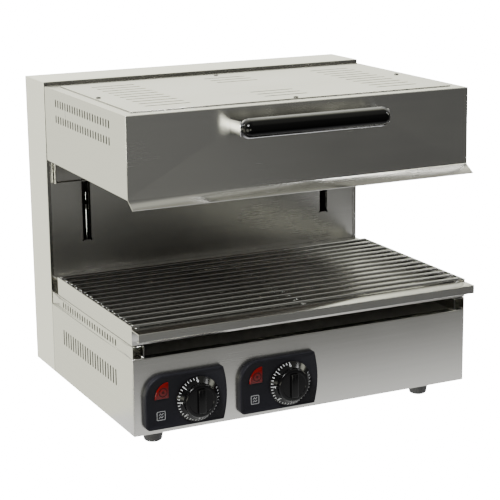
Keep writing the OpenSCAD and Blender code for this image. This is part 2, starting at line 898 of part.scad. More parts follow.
// Strut rod with its piston at the foot and a threaded stud at the head.
module strut_rod(s) {
    piston_h = 8;
    stud_in = 18;
    z_piston = z_tube_top - tube_cap - piston_h - 1;
    color("lightsteelblue")
        translate([s * strut_x, strut_y, 0]) {
            translate([0, 0, z_piston])
                cylinder(d = strut_tube_d - 2 * tube_wall - 2 * slide_gap, h = piston_h);
            translate([0, 0, z_piston]) cylinder(d = strut_d, h = z_shoulder - z_piston);
            translate([0, 0, z_shoulder - 2]) cylinder(d = stud_d, h = z_lug + stud_in - z_shoulder + 2);
        }
}

module on_stud(z, h, d, sides) {
    for (s = [-1, 1]) translate([s * strut_x, strut_y, z])
        difference() {
            cylinder(d = d, h = h, $fn = sides);
            translate([0, 0, -e]) cylinder(d = stud_d + 2 * fit_gap, h = h + 2 * e);
        }
}

module strut_rings() {
    color("black") on_stud(z_shoulder, ring_h, ring_d, 48);
}

module strut_nuts() {
    color("gainsboro") on_stud(z_shoulder + ring_h, nut_h, strut_d + 1.5, 6);
}

// Arm that reaches from the hood through a column slot to the carriage, with the strut's lug.
module hood_arm(s) {
    lug_y = lug_w / 2 + 1;
    web = 10;
    arm_in = slot_x - arm_t / 2;
    stud_hole = 20;
    color([0.08, 0.08, 0.08])
        mirror([s < 0 ? 1 : 0, 0, 0])
            difference() {
                union() {
                    block([arm_in, y_back, z_arm0], [slot_x + arm_t / 2, y_plate, z_carriage]);
                    block([strut_x - lug_w / 2, strut_y - lug_y, z_lug],
                        [strut_x + lug_w / 2, strut_y + lug_y, z_arm0 + web]);
                    block([strut_x, strut_y - lug_y, z_arm0], [arm_in + 0.5, strut_y + lug_y, z_arm0 + web]);
                }
                translate([strut_x, strut_y, z_lug - e])
                    cylinder(d = stud_d + 2 * fit_gap, h = stud_hole + e);
            }
}

module carriage() {
    x1 = slot_x + arm_t / 2;
    window_in = 40;
    window_edge = 20;
    color("slategray")
        difference() {
            union() {
                block([-x1, y_plate, z_car_low], [x1, y_plate + carriage_t, z_carriage]);
                both_sides() for (z = [z_car_low, z_carriage - bush_h])
                    block([guide_x - housing / 2, guide_y - housing / 2, z],
                        [guide_x + housing / 2, y_plate + carriage_t / 2, z + bush_h]);
            }
            both_sides() translate([guide_x, guide_y, z_car_low - e])
                cylinder(d = bush_d, h = carriage_h + 2 * e);
            block([-guide_x + window_in, y_plate - e, z_car_low + window_edge],
                [guide_x - window_in, y_plate + carriage_t + e, z_carriage - window_edge]);
        }
}

module bushes() {
    color("goldenrod") {
        ring_on_rod(z_car_low, bush_h, bush_d, guide_d + 2 * fit_gap);
        ring_on_rod(z_carriage - bush_h, bush_h, bush_d, guide_d + 2 * fit_gap);
    }
}

// ---- hood ----

module hood_shell() {
    open_half = hhw - cover_in_x - cover_lap;
    open_front = y_hood + cover_in_front + cover_lap;
    open_back = y_back - cover_in_back - cover_lap;
    lip_len = norm([lip_out, lip_drop]);
    under = [lip_drop, -lip_out] * sheet / lip_len;
    tip = [y_hood - lip_out, z_crease - lip_drop];
    color("silver")
        difference() {
            union() {
                difference() {
                    block([-hhw, y_hood, z_crease], [hhw, y_back, z_hood]);
                    block([-hhw + sheet, y_hood + sheet, z_crease + sheet],
                        [hhw - sheet, y_back + e, z_hood - sheet]);
                    block([-hhw + sheet, y_back - sheet, z_crease - e],
                        [hhw - sheet, y_back + e, z_hood - sheet]);
                    block([-hhw + hood_flange, y_hood + hood_flange, z_crease - e],
                        [hhw - hood_flange, y_back + e, z_crease + 2 * sheet]);
                }
                both_sides() block([hhw - hood_flange, y_back - 2 * sheet, z_crease],
                    [hhw - sheet / 2, y_back - sheet, z_hood - sheet / 2]);
                along_x(-hhw, hhw)
                    polygon([[y_hood, z_crease], tip, tip + under, [y_hood + sheet, z_crease],
                        [y_hood + sheet, z_crease + sheet], [y_hood, z_crease + sheet]]);
            }
            block([-open_half, open_front, z_hood - 2 * sheet], [open_half, open_back, z_hood + e]);
            both_sides() {
                translate([hhw, 0, 0]) side_slots(z_hood - 22, hood_vent_h, 3 * sheet);
                translate([hhw, 0, 0]) side_slots(z_hood - 48, hood_vent_h, 3 * sheet);
                translate([spacer_x, y_hood - e, z_grip]) rotate([-90, 0, 0])
                    cylinder(d = handle_screw_d + 2 * fit_gap, h = sheet + 2 * e);
            }
            cover_screw_spots() translate([0, 0, -3 * sheet])
                cylinder(d = screw_d + 2 * fit_gap, h = 4 * sheet);
        }
}

cover_half = hhw - cover_in_x;
cover_front = y_hood + cover_in_front;
cover_back = y_back - cover_in_back;
cover_mid = (cover_front + cover_back) / 2;

module cover_screw_spots() {
    for (p = [[cover_half - cover_screw_in, cover_mid], [-cover_half + cover_screw_in, cover_mid],
        [0, cover_front + cover_screw_in], [0, cover_back - cover_screw_in]])
        translate([p[0], p[1], z_hood + sheet]) children();
}

module hood_cover() {
    color("silver")
        difference() {
            block([-cover_half, cover_front, z_hood], [cover_half, cover_back, z_hood + sheet]);
            for (c = [-1, 0, 1], r = [0 : slot_rows - 1])
                if (c != 0 || r < slot_mid_rows || r >= slot_rows - slot_mid_rows)
                    translate([c * slot_col_pitch, cover_mid + (r - (slot_rows - 1) / 2) * slot_pitch, 0])
                        translate([0, 0, z_hood - e]) linear_extrude(sheet + 2 * e) {
                            square([slot_len - vent_w, vent_w], center = true);
                            for (s = [-1, 1]) translate([s * (slot_len - vent_w) / 2, 0]) circle(d = vent_w);
                        }
            cover_screw_spots() translate([0, 0, -2 * sheet])
                cylinder(d = screw_d + 2 * fit_gap, h = 3 * sheet);
        }
}

module cover_screws() {
    color("gainsboro") cover_screw_spots() pan_screw(screw_d, head_d, head_h, screw_len);
}

module hood_back() {
    half = hhw - back_in;
    color("silver") {
        block([-half, y_back - sheet, z_back], [half, y_back, z_hood - sheet - plate_play]);
        block([-half, y_back - back_fold, z_back], [half, y_back - sheet / 2, z_back + sheet]);
        both_sides() block([half - sheet, y_back - back_fold, z_back],
            [half, y_back - sheet / 2, z_crease - e]);
    }
}

// Bent strap behind the grip: two legs to the hood's front and a rounded face.
module handle_strap() {
    color("gainsboro")
        difference() {
            union() {
                towards_front(y_strap + strap_t, y_strap) translate([0, z_grip])
                    for (s = [-1, 1]) {
                        translate([s * (strap_half - strap_h / 2), 0]) circle(d = strap_h, $fn = 64);
                        square([2 * strap_half - strap_h, strap_h], center = true);
                    }
                both_sides() block([strap_half - strap_t, y_strap, z_grip - strap_leg_h / 2],
                    [strap_half, y_hood, z_grip + strap_leg_h / 2]);
            }
            both_sides() translate([spacer_x, y_strap - e, z_grip]) rotate([-90, 0, 0])
                cylinder(d = handle_screw_d + 2 * fit_gap, h = strap_t + 2 * e);
        }
}

// Moulded grip: a bar with a domed section and rounded ends.
module handle_grip() {
    r = grip_h / 2;
    dome_r = (r * r + grip_t * grip_t) / (2 * grip_t);
    color([0.03, 0.03, 0.03])
        translate([0, y_strap, z_grip])
            difference() {
                union() {
                    intersection() {
                        rotate([0, 90, 0]) translate([0, 0, -grip_len / 2 + r])
                            linear_extrude(grip_len - 2 * r) intersection() {
                                translate([0, dome_r - grip_t]) circle(r = dome_r, $fn = 96);
                                translate([-r, -grip_t]) square([grip_h, grip_t]);
                            }
                        towards_front(0, -grip_t) square([grip_len, grip_h], center = true);
                    }
                    for (s = [-1, 1]) translate([s * (grip_len / 2 - r), 0, 0])
                        rotate([90, 0, 0]) rotate_extrude($fn = 96)
                            intersection() {
                                translate([0, grip_t - dome_r]) circle(r = dome_r, $fn = 96);
                                square([r, grip_t]);
                            }
                }
                both_sides() translate([spacer_x, -grip_t * 0.6, 0]) rotate([-90, 0, 0])
                    cylinder(d = handle_screw_d + 2 * fit_gap, h = grip_t);
            }
}

module handle_spacers() {
    color([0.1, 0.1, 0.1])
        both_sides() translate([spacer_x, y_hood, z_grip]) rotate([90, 0, 0])
            difference() {
                cylinder(d = spacer_d, h = grip_out - strap_t);
                translate([0, 0, -e]) cylinder(d = handle_screw_d + 2 * fit_gap, h = grip_out + e);
            }
}

module handle_screws() {
    color("gainsboro")
        both_sides() translate([spacer_x, y_hood + sheet, z_grip]) rotate([-90, 0, 0])
            pan_screw(handle_screw_d, handle_screw_d * 1.9, 3, sheet + grip_out + grip_t * 0.5);
}

// Folded reflector over the heating tubes; its rim lies on the hood's lower flanges.
module reflector() {
    rim_half = hhw - sheet - plate_play;
    rim_front = y_hood + sheet + plate_play;
    rim_back = y_back - 2 * sheet - plate_play;
    t = reflector_t;
    color("whitesmoke")
        difference() {
            union() {
                difference() {
                    block([-refl_half, refl_front, z_refl_rim], [refl_half, refl_back, z_refl]);
                    block([-refl_half + t, refl_front + t, z_refl_rim - e],
                        [refl_half - t, refl_back - t, z_refl - t]);
                }
                difference() {
                    block([-rim_half, rim_front, z_refl_rim], [rim_half, rim_back, z_refl_rim + t]);
                    block([-refl_half + t / 2, refl_front + t / 2, z_refl_rim - e],
                        [refl_half - t / 2, refl_back - t / 2, z_refl_rim + t + e]);
                }
            }
            for (s = [-1, 1], k = [0, tube_n - 1])
                translate([s * (tube_x0 - k * pass_pitch), refl_back + e, z_heat]) rotate([90, 0, 0])
                    cylinder(d = tube_d + 2 * slide_gap, h = 4 * t + e);
        }
}

module blanket() {
    side = 4;
    color("white")
        block([-refl_half + side, refl_front + side, z_refl],
            [refl_half - side, refl_back - side, z_refl + blanket_t]);
}

// Sheathed heating tube that runs to and fro, with both cold ends through the reflector's back wall.
module heater(s) {
    bend_d = tube_d - 0.2;
    bend_lap = 3;  // degrees that a bend runs on inside a straight pass
    bead_d = tube_d + 4;
    cold_end = refl_back + 16;
    color([0.35, 0.33, 0.3])
        mirror([s < 0 ? 1 : 0, 0, 0]) translate([0, 0, z_heat]) {
            for (k = [0 : tube_n - 1]) {
                outer = k == 0 || k == tube_n - 1;
                y1 = outer ? cold_end : heat_back;
                translate([tube_x0 - k * pass_pitch, y1, 0]) rotate([90, 0, 0])
                    cylinder(d = tube_d, h = y1 - heat_front, $fn = 32);
            }
            for (k = [0 : tube_n - 2])
                translate([tube_x0 - (k + 0.5) * pass_pitch, k % 2 == 0 ? heat_front : heat_back, 0])
                    rotate([0, 0, (k % 2 == 0 ? 180 : 0) - bend_lap])
                        rotate_extrude(angle = 180 + 2 * bend_lap, $fn = 48)
                            translate([pass_pitch / 2, 0]) circle(d = bend_d, $fn = 32);
            for (k = [0, tube_n - 1]) translate([tube_x0 - k * pass_pitch, cold_end, 0]) rotate([90, 0, 0])
                cylinder(d = bead_d, h = 14);
        }
}

// Bars that hang from the reflector and carry the heating tubes in holes.
module heater_bars() {
    bar_w = 2;
    bar_in = 24;
    below = tube_d / 2 + 3;
    color("gainsboro")
        for (y = [heat_front + bar_in, heat_back - bar_in])
            difference() {
                block([-refl_half + reflector_t, y, z_heat - below],
                    [refl_half - reflector_t, y + bar_w, z_refl - reflector_t]);
                for (s = [-1, 1], k = [0 : tube_n - 1])
                    translate([s * (tube_x0 - k * pass_pitch), y - e, z_heat]) rotate([-90, 0, 0])
                        cylinder(d = tube_d + 2 * fit_gap, h = bar_w + 2 * e);
            }
}

// ---- pan and grid ----

// A rim frame that runs on as the top of the front lip, over a well made of a floor and four walls.
module drip_pan() {
    t = pan_t;
    z_floor = z_rim - pan_well;
    color("silver") {
        difference() {
            block([-pan_half, y_lip, z_rim - t], [pan_half, pan_back, z_rim]);
            block([-well_half, well_front, z_rim - t - e], [well_half, well_back, z_rim + e]);
        }
        block([-well_half - t, well_front - t, z_floor - t], [well_half + t, well_back + t, z_floor]);
        for (y = [well_front - t, well_back])
            block([-well_half + seam, y, z_floor + seam], [well_half - seam, y + t, z_rim - t - seam]);
        both_sides()
            block([well_half, well_front - t, z_floor + seam],
                [well_half + t, well_back + t, z_rim - t - seam]);
    }
}

// Folded strips under the pan's rim: two channels that slide on the runners, two walls and the lip's edge.
module pan_skirts() {
    t = pan_t;
    foot = z_runner + slide_gap;
    skirt = foot + t + 0.4;
    glide = runner_w - 6;
    lip_hem = 8;
    color("silver") {
        both_sides()
            towards_front(pan_back - t - seam, pan_front + t + seam)
                polygon([[pan_half, z_rim - t], [pan_half, skirt], [pan_half - 2, foot],
                    [pan_half - glide, foot], [pan_half - glide, foot + t], [pan_half - 2 - t / 2, foot + t],
                    [pan_half - t, skirt + t / 2], [pan_half - t, z_rim - t]]);
        for (y = [pan_front, pan_back - t]) block([-pan_half, y, skirt], [pan_half, y + t, z_rim - t]);
        along_x(-pan_half, pan_half)
            translate([y_lip, z_rim - pan_lip_drop]) {
                square([t, pan_lip_drop - t]);
                square([lip_hem, t]);
            }
    }
}

// Rods across the pan, welded on to cross-bars that lie inside the well.
module cooking_grid() {
    weld = 0.5;
    bar_end = rod_play / 2;
    color("gainsboro") {
        for (k = [0 : rod_n - 1])
            translate([-rod_half, rod_front + k * rod_pitch, z_rod]) rotate([0, 90, 0])
                cylinder(d = rod_d, h = 2 * rod_half, $fn = 24);
        for (c = [-1, 0, 1])
            translate([c * cross_x, well_front + bar_end, z_rod - rod_d + weld]) rotate([-90, 0, 0])
                cylinder(d = rod_d, h = well_back - well_front - 2 * bar_end, $fn = 24);
    }
}

// Moves the machine so that the middle of its footprint is at the origin.
module place() {
    translate([0, -y_mid, 0]) children();
}

place() column_shell();
place() column_front();
place() rear_cover();
place() rear_screws();
place() cable_gland();
place() terminal_block();
place() base_shell();
place() base_plate();
place() deck();
place() ledge();
place() runner(-1);  // runner_left
place() runner(1);  // runner_right
place() feet();
place() foot_bolts();
place() bezel(0);  // bezel_left
place() bezel(1);  // bezel_right
place() lens(0);  // lens_left
place() lens(1);  // lens_right
place() regulator(0);  // regulator_left
place() regulator(1);  // regulator_right
place() lower_crossbar();
place() upper_crossbar();
place() guide_rod(-1);  // guide_rod_left
place() guide_rod(1);  // guide_rod_right
place() rod_collars();
place() stop_sleeves();
place() strut_cylinder(-1);  // strut_cylinder_left
place() strut_cylinder(1);  // strut_cylinder_right
place() strut_anchors();
place() strut_pins();
place() knob(0);  // knob_left
place() knob(1);  // knob_right
place() control_shaft(0);  // shaft_left
place() control_shaft(1);  // shaft_right
place() hood_shell();
place() hood_cover();
place() cover_screws();
place() hood_back();
place() hood_arm(-1);  // hood_arm_left
place() hood_arm(1);  // hood_arm_right
place() carriage();
place() bushes();
place() strut_rod(-1);  // strut_rod_left
place() strut_rod(1);  // strut_rod_right
place() strut_rings();
place() strut_nuts();
place() handle_strap();
place() handle_grip();
place() handle_spacers();
place() handle_screws();
place() reflector();
place() blanket();
place() heater(-1);  // heater_left
place() heater(1);  // heater_right
place() heater_bars();
place() drip_pan();
place() pan_skirts();
place() cooking_grid();
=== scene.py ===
"""Countertop cheese melter: sheet folds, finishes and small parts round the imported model."""

import json
import math
from itertools import combinations

import bmesh
import bpy
import numpy as np
from mathutils import Matrix, Vector


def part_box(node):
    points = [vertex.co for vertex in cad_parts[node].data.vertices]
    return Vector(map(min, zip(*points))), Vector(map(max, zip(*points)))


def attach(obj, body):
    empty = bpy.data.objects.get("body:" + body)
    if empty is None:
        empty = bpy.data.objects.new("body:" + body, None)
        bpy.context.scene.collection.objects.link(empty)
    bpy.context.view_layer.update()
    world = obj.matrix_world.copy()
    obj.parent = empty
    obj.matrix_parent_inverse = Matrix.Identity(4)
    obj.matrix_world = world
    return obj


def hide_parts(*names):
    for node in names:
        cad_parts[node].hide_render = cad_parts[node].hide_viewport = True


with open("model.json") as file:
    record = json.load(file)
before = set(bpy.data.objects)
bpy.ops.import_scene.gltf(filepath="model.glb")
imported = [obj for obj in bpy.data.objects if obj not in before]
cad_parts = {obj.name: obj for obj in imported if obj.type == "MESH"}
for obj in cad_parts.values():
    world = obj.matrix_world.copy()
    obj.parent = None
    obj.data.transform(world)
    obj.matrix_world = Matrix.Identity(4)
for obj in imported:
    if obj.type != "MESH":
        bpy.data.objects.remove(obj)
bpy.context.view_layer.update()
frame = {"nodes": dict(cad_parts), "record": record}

bl_info = {
    "name": "Cheese melter",
    "version": (1, 0, 0),
    "blender": (4, 5, 0),
    "location": "3D View > Sidebar > Melter",
    "description": "Builds the pieces, finishes, light and camera of a countertop cheese melter",
    "category": "Object",
}

# body of each CAD node
BODY_OF = {n: b for b, ns in frame["record"]["behaviour"]["bodies"].items() for n in ns}


# ---- settings -------------------------------------------------------------


class SheetSettings(bpy.types.PropertyGroup):
    """How the steel sheet is folded and finished."""

    fold: bpy.props.FloatProperty(
        name="Fold radius", description="Outer radius of the folds in the body sheet",
        default=0.0018, min=0.0005, max=0.003, unit="LENGTH",
    )
    cut: bpy.props.FloatProperty(
        name="Cut edge", description="Rounding of the sheet's deburred edges",
        default=0.00035, min=0.0001, max=0.0006, unit="LENGTH",
    )
    tint: bpy.props.FloatVectorProperty(
        name="Steel colour", description="Colour of the brushed stainless sheet",
        default=(0.61, 0.605, 0.57), size=3, min=0.0, max=1.0, subtype="COLOR",
    )
    rough: bpy.props.FloatProperty(
        name="Roughness", description="Mean roughness of the brushed sheet",
        default=0.24, min=0.05, max=0.8, subtype="FACTOR",
    )


class ControlSettings(bpy.types.PropertyGroup):
    """The control bezels, lenses and knobs."""

    plastic: bpy.props.FloatVectorProperty(
        name="Bezel colour", description="Colour of the moulded bezels",
        default=(0.018, 0.018, 0.023), size=3, min=0.0, max=1.0, subtype="COLOR",
    )
    lens: bpy.props.FloatVectorProperty(
        name="Lens colour", description="Colour of the indicator lenses",
        default=(0.17, 0.003, 0.003), size=3, min=0.0, max=1.0, subtype="COLOR",
    )
    ink: bpy.props.FloatVectorProperty(
        name="Mark colour", description="Colour of the printed marks",
        default=(0.50, 0.51, 0.54), size=3, min=0.0, max=1.0, subtype="COLOR",
    )
    ticks: bpy.props.IntProperty(
        name="Dial ticks", description="Number of ticks round a dial", default=34, min=6, max=60,
    )
    sweep: bpy.props.FloatProperty(
        name="Dial sweep", description="Angle that the dial's ticks cover",
        default=math.radians(290), min=1.0, max=6.2, unit="ROTATION",
    )


class GridSettings(bpy.types.PropertyGroup):
    """The wire grid."""

    rods: bpy.props.IntProperty(
        name="Rods", description="Number of rods across the pan", default=14, min=2, max=24,
    )
    end_round: bpy.props.FloatProperty(
        name="End rounding", description="Rounding of a rod's sheared ends",
        default=0.0012, min=0.0002, max=0.003, unit="LENGTH",
    )


class StageSettings(bpy.types.PropertyGroup):
    """The floor, the light and the camera."""

    floor: bpy.props.FloatVectorProperty(
        name="Floor colour", description="Colour of the pale floor",
        default=(0.93, 0.93, 0.93), size=3, min=0.0, max=1.0, subtype="COLOR",
    )
    glow: bpy.props.FloatProperty(
        name="Floor glow", description="How much the floor is lit from below, as on a light table",
        default=16.0, min=0.0, max=40.0,
    )
    key: bpy.props.FloatProperty(
        name="Key light", description="Power of the large soft light above on the left",
        default=110.0, min=0.0, max=500.0, unit="POWER",
    )
    fill: bpy.props.FloatProperty(
        name="Fill light", description="Power of the soft light above on the right",
        default=24.0, min=0.0, max=500.0, unit="POWER",
    )
    card: bpy.props.FloatProperty(
        name="Floor card", description="Brightness of the card in front of the machine",
        default=1.75, min=0.0, max=20.0,
    )
    sky: bpy.props.FloatProperty(
        name="Surround", description="Strength of the light that comes from all round",
        default=1.0, min=0.0, max=5.0,
    )


# ---- mesh helpers ---------------------------------------------------------


def new_object(name, mesh):
    """A linked object of that name at the origin."""
    ob = bpy.data.objects.new(name, mesh)
    bpy.context.scene.collection.objects.link(ob)
    return ob


def mesh_of(name, bm):
    """A mesh from a bmesh, which is freed."""
    me = bpy.data.meshes.new(name)
    bm.to_mesh(me)
    bm.free()
    return me


def smooth(me, angle=32.0):
    """Smooth shading, with the edges sharper than the angle kept sharp."""
    me.polygons.foreach_set("use_smooth", [True] * len(me.polygons))
    me.set_sharp_from_angle(angle=math.radians(angle))


def made_whole(me):
    """A bmesh of a mesh with its triangles joined and its flat faces made whole."""
    bm = bmesh.new()
    bm.from_mesh(me)
    bmesh.ops.remove_doubles(bm, verts=bm.verts, dist=2e-6)
    bmesh.ops.dissolve_limit(bm, angle_limit=math.radians(0.4), verts=bm.verts, edges=bm.edges)
    return bm


def whole_copy(node):
    """A bmesh of a CAD node with whole faces."""
    return made_whole(frame["nodes"][node].data)


def merged(parts):
    """One bmesh of several, which are freed."""
    whole = bmesh.new()
    for part in parts:
        scratch = mesh_of("scratch", part)
        whole.from_mesh(scratch)
        bpy.data.meshes.remove(scratch)
    return whole


def closed_up(bm):
    """The bmesh with its doubles merged and its faces turned outwards."""
    bmesh.ops.remove_doubles(bm, verts=bm.verts, dist=1e-7)
    bmesh.ops.recalc_face_normals(bm, faces=bm.faces)
    return bm


def shaded(name, bm, angle=32.0):
    """A smooth-shaded object of a bmesh."""
    me = mesh_of(name, bm)
    smooth(me, angle)
    return new_object(name, me)


def combined(name, operation, first, others):
    """A plain object of the first one, united with the others or cut by them; all are removed."""
    for other in others:
        mod = first.modifiers.new("Combine", "BOOLEAN")
        mod.operation = operation
        mod.solver = "EXACT"
        mod.object = other
    made = settled(name, first)
    for other in others:
        bpy.data.objects.remove(other)
    return made


def solids_of(bm):
    """The vertices of each loose solid."""
    solids, seen = [], set()
    for seed in bm.verts:
        if seed in seen:
            continue
        solid, stack = [], [seed]
        seen.add(seed)
        while stack:
            v = stack.pop()
            solid.append(v)
            near = [w for w in (e.other_vert(v) for e in v.link_edges) if w not in seen]
            seen.update(near)
            stack += near
        solids.append(solid)
    return solids


def levelled(bm):
    """Brings points that lie a hair apart along an axis to the same place on it."""
    hair = 0.00015
    for k in range(3):
        level = -math.inf
        for v in sorted(bm.verts, key=lambda v: v.co[k]):
            if v.co[k] - level > hair:
                level = v.co[k]
            v.co[k] = level


def welded(name, nodes, strips):
    """A bmesh of CAD nodes and extra strips as one sheet, with the fine seams between them closed."""
    bm = merged([whole_copy(node) for node in nodes] + [slab(low, high) for low, high in strips])
    bmesh.ops.triangulate(bm, faces=bm.faces)
    levelled(bm)
    drafts = []
    for solid in solids_of(bm):
        keep = {v.index for v in solid}
        part = bm.copy()
        bmesh.ops.delete(part, geom=[v for v in part.verts if v.index not in keep], context="VERTS")
        drafts.append(new_object("solid_draft", mesh_of("solid_draft", part)))
    bm.free()
    made = combined(name, "UNION", drafts[0], drafts[1:])
    bm = made_whole(made.data)
    bpy.data.objects.remove(made)
    return bm


def straight_runs(edges):
    """Length of the straight run that each edge belongs to."""
    in_line = 0.99999
    way = {e: (e.verts[1].co - e.verts[0].co).normalized() for e in edges}
    lead = {e: e for e in edges}

    def first(e):
        while lead[e] is not e:
            e = lead[e]
        return e

    at = {}
    for e in edges:
        for v in e.verts:
            at.setdefault(v, []).append(e)
    for meeting in at.values():
        for a, b in combinations(meeting, 2):
            if abs(way[a].dot(way[b])) > in_line:
                lead[first(a)] = first(b)
    total = {}
    for e in edges:
        total[first(e)] = total.get(first(e), 0.0) + e.calc_length()
    return {e: total[first(e)] for e in edges}


def strip_width(face):
    """A face's area over its longest side, which tells a cut edge from a panel."""
    co = np.array([v.co for v in face.verts])
    return face.calc_area() / max(np.ptp(co, axis=0).max(), 1e-9)


def weigh_edges(bm, least, panel, fold, cut):
    """Bevel weights: 1 on a fold between two panels, less on a sheet's cut edge, 0 on short ones.

    The walls of punched holes, which are short and as narrow as the sheet is thick, get the
    shade_paint attribute: painted shade, which darkens the inside of the holes.
    """
    hole_long, hole_wide = 0.08, 0.0017
    # painted shade: marks the hole walls to be painted dark
    shade_paint = bm.faces.layers.float.new("shade_paint")
    for f in bm.faces:
        longest = np.ptp([v.co for v in f.verts], axis=0).max()
        f[shade_paint] = float(longest < hole_long and strip_width(f) < hole_wide)
    layer = bm.edges.layers.float.new("bevel_weight_edge")
    sharp = [e for e in bm.edges if len(e.link_faces) == 2 and e.calc_face_angle(0.0) > math.radians(20)]
    runs = straight_runs(sharp)
    for e in sharp:
        if runs[e] < least:
            continue
        width = min(strip_width(f) for f in e.link_faces)
        e[layer] = 1.0 if width > panel else cut / fold
    bmesh.ops.triangulate(bm, faces=[f for f in bm.faces if len(f.verts) > 4])


def rounded(name, bm, fold):
    """A plain object of the bmesh with its weighted edges rounded and its normals hardened."""
    ob = shaded(name + "_draft", bm)
    mod = ob.modifiers.new("Folds", "BEVEL")
    mod.limit_method = "WEIGHT"
    mod.width = fold
    mod.segments = 3
    mod.use_clamp_overlap = False
    mod.harden_normals = True
    return settled(name, ob)


def settled(name, draft):
    """A plain mesh object of what the draft's modifiers make; the draft is removed."""
    bpy.context.view_layer.update()
    graph = bpy.context.evaluated_depsgraph_get()
    me = bpy.data.meshes.new_from_object(
        draft.evaluated_get(graph), preserve_all_data_layers=True, depsgraph=graph
    )
    bpy.data.objects.remove(draft)
    me.name = name
    return new_object(name, me)


def grain_map(ob):
    """UV map in metres: U runs along the brushing of each face, V across it."""
    me = ob.data
    uv = me.uv_layers.get("grain") or me.uv_layers.new(name="grain")

    def read(items, key, kind=float, width=1):
        values = np.zeros(len(items) * width, kind)
        items.foreach_get(key, values)
        return values.reshape(-1, width) if width > 1 else values

    normal = np.abs(read(me.polygons, "normal", width=3))
    side = np.repeat(normal.argmax(axis=1), read(me.polygons, "loop_total", int))
    p = read(me.vertices, "co", width=3)[read(me.loops, "vertex_index", int)]
    along = np.where(side == 0, p[:, 1], p[:, 0])
    across = np.where(side == 2, p[:, 1], p[:, 2])
    apart = 0.37  # keeps the grain of faces that meet at a fold from running on
    uv.data.foreach_set("uv", np.stack([along + side * apart, across], axis=1).ravel())


def wear(ob, material):
    """One material on the whole piece."""
    ob.data.materials.clear()
    ob.data.materials.append(material)


def settle_piece(ob, node, material, replaces=None):
    """Gives a piece its grain map, material and body, and hides the CAD nodes that it stands for."""
    grain_map(ob)
    wear(ob, material)
    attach(ob, BODY_OF[node])
    for n in replaces if replaces is not None else [node]:
        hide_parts(n)
    return ob


def sheet_piece(node, material, least=0.03, panel=0.0035, fold=None, cut=None, more=(), strips=()):
    """A CAD sheet part, with nodes and strips welded to it, whose folds and cut edges are rounded."""
    s = bpy.context.scene.melter_sheet
    fold = fold or s.fold
    cut = cut or s.cut
    bm = welded(node + "_welded", (node, *more), strips) if more else whole_copy(node)
    weigh_edges(bm, least, panel, fold, cut)
    ob = rounded(node + "_sheet", bm, fold)
    return settle_piece(ob, node, material, replaces=(node, *more))


def turned_piece(node, material):
    """A CAD part whose curved faces are shaded smooth."""
    return settle_piece(shaded(node + "_turned", whole_copy(node)), node, material)


def set_stain(ob, value_of):
    """Sets the painted shade of the faces for which the function gives a value."""
    shade_paint = ob.data.attributes.get("shade_paint") or ob.data.attributes.new("shade_paint", "FLOAT", "FACE")
    for face in ob.data.polygons:
        value = value_of(face)
        if value is not None:
            shade_paint.data[face.index].value = value


def angles(start, end, steps):
    """Angles in radians from one number of degrees to another, in equal steps."""
    return [math.radians(start + (end - start) * i / steps) for i in range(steps + 1)]


def lathe(profile, steps, cap=True):
    """A bmesh turned round the Z axis from (radius, height) points that run from bottom to top."""
    on_axis = 1e-7
    bm = bmesh.new()
    rings = []
    for r, z in profile:
        if r < on_axis:
            rings.append([bm.verts.new((0, 0, z))])
        else:
            turn = [2 * math.pi * i / steps for i in range(steps)]
            rings.append([bm.verts.new((r * math.cos(a), r * math.sin(a), z)) for a in turn])
    for low, high in zip(rings, rings[1:]):
        for i in range(steps):
            j = (i + 1) % steps
            quad = [low[i % len(low)], low[j % len(low)], high[j % len(high)], high[i % len(high)]]
            loop = list(dict.fromkeys(quad))
            if len(loop) > 2:
                bm.faces.new(loop)
    if cap:
        for ring, up in ((rings[0], False), (rings[-1], True)):
            if len(ring) > 1:
                bm.faces.new(ring if up else ring[::-1])
    bmesh.ops.recalc_face_normals(bm, faces=bm.faces)
    return bm


def loft(rings, close=True):
    """A bmesh through rings of points that all have the same number of points."""
    bm = bmesh.new()
    made = [[bm.verts.new(p) for p in ring] for ring in rings]
    n = len(made[0])
    for low, high in zip(made, made[1:]):
        for i in range(n):
            bm.faces.new([low[i], low[(i + 1) % n], high[(i + 1) % n], high[i]])
    if close:
        bm.faces.new(made[0][::-1])
        bm.faces.new(made[-1])
    bmesh.ops.recalc_face_normals(bm, faces=bm.faces)
    return bm


def joined(name, parts):
    """One mesh object from several bmeshes."""
    return new_object(name, mesh_of(name, merged(parts)))


def slab(low, high, edge=0.0, segments=1):
    """A bmesh box from its lowest to its highest corner, with rounded edges where asked."""
    low, high = Vector(low), Vector(high)
    bm = bmesh.new()
    bmesh.ops.create_cube(bm, size=1.0)
    size = Matrix.Diagonal((*(high - low), 1.0))
    moved(bm, Matrix.Translation((low + high) / 2) @ size)
    if edge:
        bmesh.ops.bevel(bm, geom=bm.edges, offset=edge, segments=segments, affect="EDGES", profile=0.5)
    return bm


def moved(bm, matrix):
    """The bmesh after the move."""
    bmesh.ops.transform(bm, matrix=matrix, verts=bm.verts)
    return bm


TO_FRONT = Matrix.Rotation(math.radians(90), 4, "X")  # turns +Z to the machine's front, -Y
SHOULDER = 0.3  # how far in the middle of a rounded edge lies, as a part of its radius


# ---- node trees -----------------------------------------------------------


